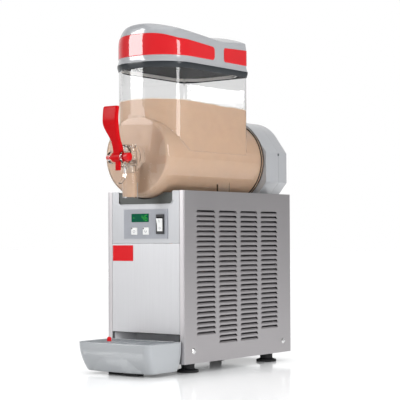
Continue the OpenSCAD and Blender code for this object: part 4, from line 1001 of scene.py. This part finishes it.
def make_tap_trim():
    """Clear ring in front of the disc that houses the valve, and slush left in the spout."""
    inner, outer, front, rear, soft = 20.0, 22.6, -70.0, -27.0, 0.8
    profile = [(inner, rear), (inner, front + 1), (inner + soft, front), (outer - soft, front),
               (outer, front + 1), (outer, rear)]
    ring = Shape().turned(profile, (0, 0, PIVOT[1] + 3), 1, 96)
    make_piece("valve_ring", ring.mesh(), "cabinet", "clear_plastic")
    bore, top, low = 10.1, 400.5, 352.5
    profile = [(0, top), (bore, top), (bore, low), (bore - 1, low + 1), (bore - 4, low + 2.2), (0, low + 2.6)]
    fill = Shape().turned(profile, (0, SPOUT_Y, 0), 2, 48)
    make_piece("spout_slush", fill.mesh(), "cabinet", "slush_mix")


def barrel_radius(y):
    """Outer radius of the barrel at a depth, with its rounded front."""
    share = min(max((y + BOWL_FRONT) / NOSE_L, 0), 1)
    return between((FACE_R, BOWL_R), math.sqrt(1 - (1 - share) ** 2))


def make_bowl_seam():
    """Fine bead of clear plastic where the tank's walls run down into the barrel."""
    def height(x, y):
        return AXIS_Z + math.sqrt(max(barrel_radius(y) ** 2 - x * x, 0))

    path = [Vector(p) for p in outline_ring(0, height)]
    bead, sides = 0.9, 8
    rings = []
    for i, place in enumerate(path):
        ahead = (path[(i + 1) % len(path)] - path[i - 1]).normalized()
        across = ahead.cross(UP).normalized()
        over = across.cross(ahead)
        rings.append([tuple(place + bead * (c * across + s * over)) for c, s in full_turn(sides)])
    make_piece("bowl_seam", Shape().loft(rings, joined=True).mesh(), "cabinet", "clear_plastic")


# Drip tray

TRAY_HALF = 93.5
TRAY_D = 105.0
TRAY_RAKE = 20.0
TRAY_TAPER = 6.0
TRAY_REAR_RAKE = 8.0
TRAY_R = 16.0
TRAY_REAR_R = 3.0
TRAY_FOOT_R = 3.0
TRAY_RIM_R = 0.9
TRAY_GAP = 0.8
TRAY_WALL = 2.0
TRAY_LEDGE = 2.5
TRAY_WELL = 4.0
TRAY_FLOOR = 2.5
FACET_TILT = 0.18
FACET_EDGE = ((0.0, 37.5), (18.7, 37.5), (33.9, 33.0), (49.8, 21.5), (69.2, 5.5))
RAIL_X = (40.0, -58.0)
RAIL_W = 18.0
RAIL_Z = (21.7, 29.7)
RAIL_END = 58.0
PAD_AT = ((14.0, -80.0), (-44.0, -64.0))
PAD_SIZE = (30.0, 22.0)
PAD_Z = (0.1, 7.0)


def facet_height(x):
    """Upper edge of the arched facet in the tray's front."""
    for (x0, z0), (x1, z1) in zip(FACET_EDGE, FACET_EDGE[1:]):
        if abs(x) <= x1:
            return between((z0, z1), (abs(x) - x0) / (x1 - x0))
    return 0.0


def tray_ring(fall, inset, faceted=False):
    """Outline of the tray at a fall below its rim, drawn in by inset."""
    s = fall / TRAY_H
    half = TRAY_HALF - TRAY_TAPER * s * s - inset
    front = TRAY_RAKE * s * s + inset - TRAY_D
    rear = -TRAY_GAP - TRAY_REAR_RAKE * s ** 4 - inset
    bend, corner, middle = max(TRAY_R - inset, LEAST_BEND), TRAY_REAR_R, 0.4
    z = TRAY_TOP - fall
    right = [(x, front) for x in spaced(middle, half - bend, 44)]
    right += arc(half - bend, front + bend, bend, -90, 16) + arc(half - corner, rear - corner, corner, 0, 6)
    right += [(x, rear) for x in spaced(half - corner, middle, 16)[1:]] + [(middle, rear)]
    if faceted:
        right = [(x, y - FACET_TILT * max(facet_height(x) - z, 0) * (y < front + bend)) for x, y in right]
    return [(x, y, z) for x, y in both_halves(right)]


def make_tray():
    rings = []
    for c, s in quarter(6):
        rings.append(tray_ring(TRAY_H - TRAY_FOOT_R * (1 - c), TRAY_FOOT_R * (1 - s), True))
    side = (TRAY_H - TRAY_FOOT_R, TRAY_RIM_R)
    levels, rim_steps, well_steps = 40, 8, 16
    rings += [tray_ring(between(side, share), 0, True) for share in shares(levels)[1:]]
    for turn in [math.pi * share for share in shares(rim_steps)]:
        rings.append(tray_ring(TRAY_RIM_R * (1 - math.sin(turn)), TRAY_WALL / 2 * (1 - math.cos(turn))))
    ledge = TRAY_WALL + TRAY_LEDGE
    well = (TRAY_WELL, TRAY_H - TRAY_FLOOR)
    rings.append(tray_ring(TRAY_WELL, TRAY_WALL))
    rings += [tray_ring(between(well, share), ledge) for share in shares(well_steps)]
    shape = Shape().loft(rings)
    for x in RAIL_X:
        shape.cushion((x, -TRAY_GAP - ledge, RAIL_Z[0]), (x + RAIL_W, RAIL_END, RAIL_Z[1]), 1.0)
    piece = make_piece("tray_basin", shape.mesh(), "tray", "tray_plastic", sharp=28)
    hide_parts("drip_tray")
    pads = Shape()
    for x, y in PAD_AT:
        pads.cushion((x, y, PAD_Z[0]), (x + PAD_SIZE[0], y + PAD_SIZE[1], PAD_Z[1]), 1.2)
    make_piece("tray_pads", pads.mesh(), "tray", "black_rubber")


# Controls

DISPLAY_AT = (CONTROL_AT[0] - 13.85, CONTROL_AT[1] + 12.3)
BUTTON_AT = {"left": (CONTROL_AT[0] - 28.95, CONTROL_AT[1] - 14.45),
             "right": (CONTROL_AT[0] + 1.65, CONTROL_AT[1] - 14.45)}
BUTTON_HALF = (7.7, 7.35)
BUTTON_FRONT = -3.3
BUTTON_BACK = 1.8
LENS_R = 1.5
ROCKER_AT = (CONTROL_AT[0] + 39.2, CONTROL_AT[1] - 0.9)
ROCKER_TILT = math.radians(8)
ROCKER_SLOPE = 1.4 / 13
ROCKER_FACE = 6.5
ROCKER_AXLE_Y = 2.0
MARK_SUNK = 0.3
MARK_LIFT = 0.1

# Half width and half height of a digit, the width of its bars, their lean, and the bars of each digit
DIGIT_HALF = (2.7, 2.8)
BAR_W = 1.35
BAR_LEAN = 0.1
BAR_FRONT = -1.62
BAR_BACK = -1.4
BARS = {"a": (0, 2, False), "g": (0, 0, False), "d": (0, -2, False), "f": (-1, 1, True), "b": (1, 1, True),
        "e": (-1, -1, True), "c": (1, -1, True)}
DIGITS = {"4": "bcfg", "6": "acdefg"}
DIGITS_SHOWN = ((7.6, "4"), (16.0, "6"))
DASH_X = -16.5
DASH_L = 4.2


def display_bar(shape, x, z, length, upright):
    """One bar of the display with pointed ends, at a place from the display's middle."""
    half, thick = length / 2, BAR_W / 2
    bar = [(-half, 0), (thick - half, -thick), (half - thick, -thick), (half, 0), (half - thick, thick),
           (thick - half, thick)]
    corners = [(x + v, z + u) if upright else (x + u, z + v) for u, v in bar]
    placed = [(DISPLAY_AT[0] + a + BAR_LEAN * b, DISPLAY_AT[1] + b) for a, b in corners]
    shape.plate(placed, BAR_FRONT, BAR_BACK)


def make_display():
    """Two lit digits and a dash behind the display's window."""
    shape = Shape()
    half_w, half_h = DIGIT_HALF
    for x, digit in DIGITS_SHOWN:
        for name in DIGITS[digit]:
            across, up, upright = BARS[name]
            display_bar(shape, x + across * half_w, up * half_h, 2 * half_h - 0.3, upright)
    display_bar(shape, DASH_X, 0, DASH_L, False)
    lit = glowing("lit_segment", (0.02, 0.26, 0.02), 0.4, 0.1, (2500, 0.15, 0.05), (0.06, 0.75, 0.1), 0.2)
    make_piece("display_digits", shape.mesh(), "cabinet", "display_green", lit)


def button_cap(x, z):
    """Cap of a button, with its flange and stem behind the plate."""
    w, h = BUTTON_HALF
    rim, stem = 1.0, 3.0
    shape = Shape().cushion((x - w, BUTTON_FRONT, z - h), (x + w, BUTTON_BACK, z + h), 0.9)
    shape.cushion((x - w - rim, 0.3, z - h - rim), (x + w + rim, BUTTON_BACK, z + h + rim), 0.2)
    return shape.cushion((x - stem, 0.5, z - stem), (x + stem, 6.5, z + stem), 0.4)


def button_mark(side, x, z):
    """Printed ring on the left button, and a chevron on the right one."""
    front, back = BUTTON_FRONT - MARK_LIFT, BUTTON_FRONT + 0.2
    mark = Shape()
    if side == "left":
        return mark.turned([(2.0, front), (2.8, front), (2.8, back), (2.0, back)], (x, 0, z - 1), 1, 32)
    low, high, reach, wide = z - 3, z + 1.2, 3.2, 1.2
    for lean in (-1, 1):
        corners = [(0, low), (wide, low), (reach + wide / 2, high), (reach - wide / 2, high)]
        mark.plate([(x + lean * u, v) for u, v in corners], front, back)
    return mark


def button_lens(x, z):
    """Small domed lens in the button's upper left corner."""
    dome = [(0, 0.3), (LENS_R, 0.3), (LENS_R, -0.1), (LENS_R - 0.4, -0.35), (0, -0.45)]
    middle = (x - BUTTON_HALF[0] + 2.1, BUTTON_FRONT, z + BUTTON_HALF[1] - 2.0)
    return Shape().turned(dome, middle, 1, 24)


def make_buttons():
    grey = moulded("button_print", (0.2, 0.2, 0.22), 0.5, 1500, 0.1)
    for side, (x, z) in BUTTON_AT.items():
        body = side + "_button"
        piece = make_piece("key_" + side, button_cap(x, z).mesh(), body, "white_plastic")
        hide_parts("button_" + side)
        mark = button_mark(side, x + 0.4, z)
        make_piece("key_mark_" + side, mark.mesh(), body, "black_plastic", grey)
        make_piece("key_lens_" + side, button_lens(x, z).mesh(), body, "black_plastic")


def rocker_point(x, up, lift):
    """Place on the rocker's two faces, which slope to its middle."""
    y = -ROCKER_FACE - ROCKER_SLOPE * abs(up) - lift
    c, s = math.cos(ROCKER_TILT), math.sin(ROCKER_TILT)
    return (ROCKER_AT[0] + x, ROCKER_AXLE_Y + y * c - up * s, ROCKER_AT[1] + y * s + up * c)


def make_rocker_marks():
    """A bar on the rocker's upper face and a ring on its lower one."""
    shape = Shape()
    bar = [(-0.5, 4.5), (0.5, 4.5), (0.5, 9.5), (-0.5, 9.5)]
    shape.loft([[rocker_point(x, up, lift) for x, up in bar] for lift in (-MARK_SUNK, MARK_LIFT)])
    inner, outer, middle = 1.6, 2.4, -7.0
    profile = ((inner, -MARK_SUNK), (inner, MARK_LIFT), (outer, MARK_LIFT), (outer, -MARK_SUNK))
    rings = [[rocker_point(r * c, middle + r * s, lift) for r, lift in profile] for c, s in full_turn(32)]
    shape.loft(rings, joined=True)
    grey = moulded("rocker_print", (0.3, 0.3, 0.32), 0.5, 1500, 0.1)
    make_piece("rocker_marks", shape.mesh(), "rocker", "black_plastic", grey)


# Side panels with pressed louvres

PANEL_BEND = 1.8
LOUVRE_L = 64.0
LOUVRE_H = 6.4
LOUVRE_IN = 6.5
LOUVRE_FLAP = 6.7
LOUVRE_STEP = (75.5, 10.2)
LOUVRE_FRONT = 39.5
LOUVRE_LOW = CAB_Z + 34.6
LOUVRE_ROWS = (25, 27, 27, 25)
LOUVRE_ENDS = [0, 0.15, 0.5, 1.0, 1.7, 2.6, 3.8, 5.2, 7.0, 10.0]
LOUVRE_SPANS = 6
MOUTH_RUN = 5.0
FLAP_RUN = 7.0
FLAP_STEPS = 4
FLAP_CURVE = 1.3


def swell(u, run):
    """Rises from nothing at both ends of a louvre to its full size within a run."""
    near = min(u, LOUVRE_L - u)
    gone = max(1 - near / run, 0)
    return math.sqrt(1 - gone * gone)


def panel_path():
    """Places in width and depth along the sheet, with the louvre column and distance of each."""
    plain = [(HALF_W - FLANGE_W, 0.0), (HALF_W - FLANGE_W / 2, 0.0)]
    plain += arc(HALF_W - PANEL_BEND, PANEL_BEND, PANEL_BEND, -90, 5)
    path = [(x, y, None, 0) for x, y in plain]
    steps = edge_steps(LOUVRE_ENDS, LOUVRE_L, LOUVRE_SPANS)
    for column in range(len(LOUVRE_ROWS)):
        start = LOUVRE_FRONT + column * LOUVRE_STEP[0]
        path += [(HALF_W, start + u, column, u) for u in steps]
    return path + [(HALF_W, CAB_D - 20, None, 0), (HALF_W, CAB_D, None, 0)]


def panel_sheet(side):
    """The folded sheet without thickness, with a mouth and an inward flap at each louvre."""
    path = panel_path()
    rows = max(LOUVRE_ROWS)
    levels = [CAB_Z] + [LOUVRE_LOW + i * LOUVRE_STEP[1] for i in range(rows + 1)] + [CAB_TOP]
    shape = Shape()
    count = len(path)
    for z in levels:
        shape.points += [(side * x, y, z) for x, y, _, _ in path]

    def add(x, y, z):
        shape.points.append((side * x, y, z))
        return len(shape.points) - 1

    def louvre_strip(ends, z, low_edge, high_edge):
        """The strip of a louvre between two places of the path, from a height z."""
        mouth = [add(x, y, z + LOUVRE_H * swell(u, MOUTH_RUN)) for x, y, _, u in ends]
        shape.faces.append((*mouth, *reversed(high_edge)))
        sizes = [swell(u, FLAP_RUN) for _, _, _, u in ends]
        low = low_edge
        for share in shares(FLAP_STEPS)[1:]:
            high = [add(x - LOUVRE_IN * full * share ** FLAP_CURVE, y, z + LOUVRE_FLAP * full * share)
                    for (x, y, _, _), full in zip(ends, sizes)]
            shape.faces.append((*low, *reversed(high)))
            low = high

    for k in range(len(levels) - 1):
        for i in range(count - 1):
            column = path[i][2]
            low_edge = (k * count + i, k * count + i + 1)
            high_edge = (low_edge[0] + count, low_edge[1] + count)
            louvred = column is not None and path[i + 1][2] == column and 1 <= k <= rows
            if louvred and k > rows - LOUVRE_ROWS[column]:
                louvre_strip(path[i:i + 2], levels[k], low_edge, high_edge)
            else:
                shape.faces.append((*low_edge, *reversed(high_edge)))
    if side < 0:
        shape.faces = [tuple(reversed(face)) for face in shape.faces]
    return shape


def make_side_panel(name, node, side):
    sheet = add_object(name + "_sheet", panel_sheet(side).mesh(outwards=False))
    thick = sheet.modifiers.new("thick", "SOLIDIFY")
    thick.thickness = SHEET * MM
    thick.offset = -1.0
    piece = make_piece(name, applied(sheet), "cabinet", "side_steel", sharp=20)
    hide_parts(node)


# Black pad behind the rear vents: a guessed filter that also paints the shade of the dark inside seen through
# them

FILTER_LOW = (-80.0, 375.0, 80.0)
FILTER_HIGH = (80.0, CAB_D - SHEET + 0.05, 322.0)


def make_vent_shade_pad():
    """Thin black foam pad against the rear panel's vents, a guessed filter that also stands in for the shaded
    inside of the cabinet.
    """
    foam = moulded("shade_pad_foam", (0.01, 0.01, 0.011), 0.9, 700, 0.4, 0.0003, shine=0.1)
    pad = Shape().cushion(FILTER_LOW, FILTER_HIGH, 1.0)
    make_piece("vent_shade_pad", pad.mesh(), "cabinet", "black_rubber", foam)


make_materials()
finishes = node_materials()
dress_solids()
make_camera()
make_stage()
make_lid_shell()
make_lid_plates()
make_lid_edge()
make_slush()
make_froth()
make_lever()
make_pivot_pin()
make_tap_trim()
make_bowl_seam()
make_tray()
make_display()
make_buttons()
make_rocker_marks()
make_side_panel("louvre_panel_right", "side_panel_right", 1)
make_side_panel("louvre_panel_left", "side_panel_left", -1)
make_vent_shade_pad()

bpy.context.scene.view_settings.view_transform = "Standard"
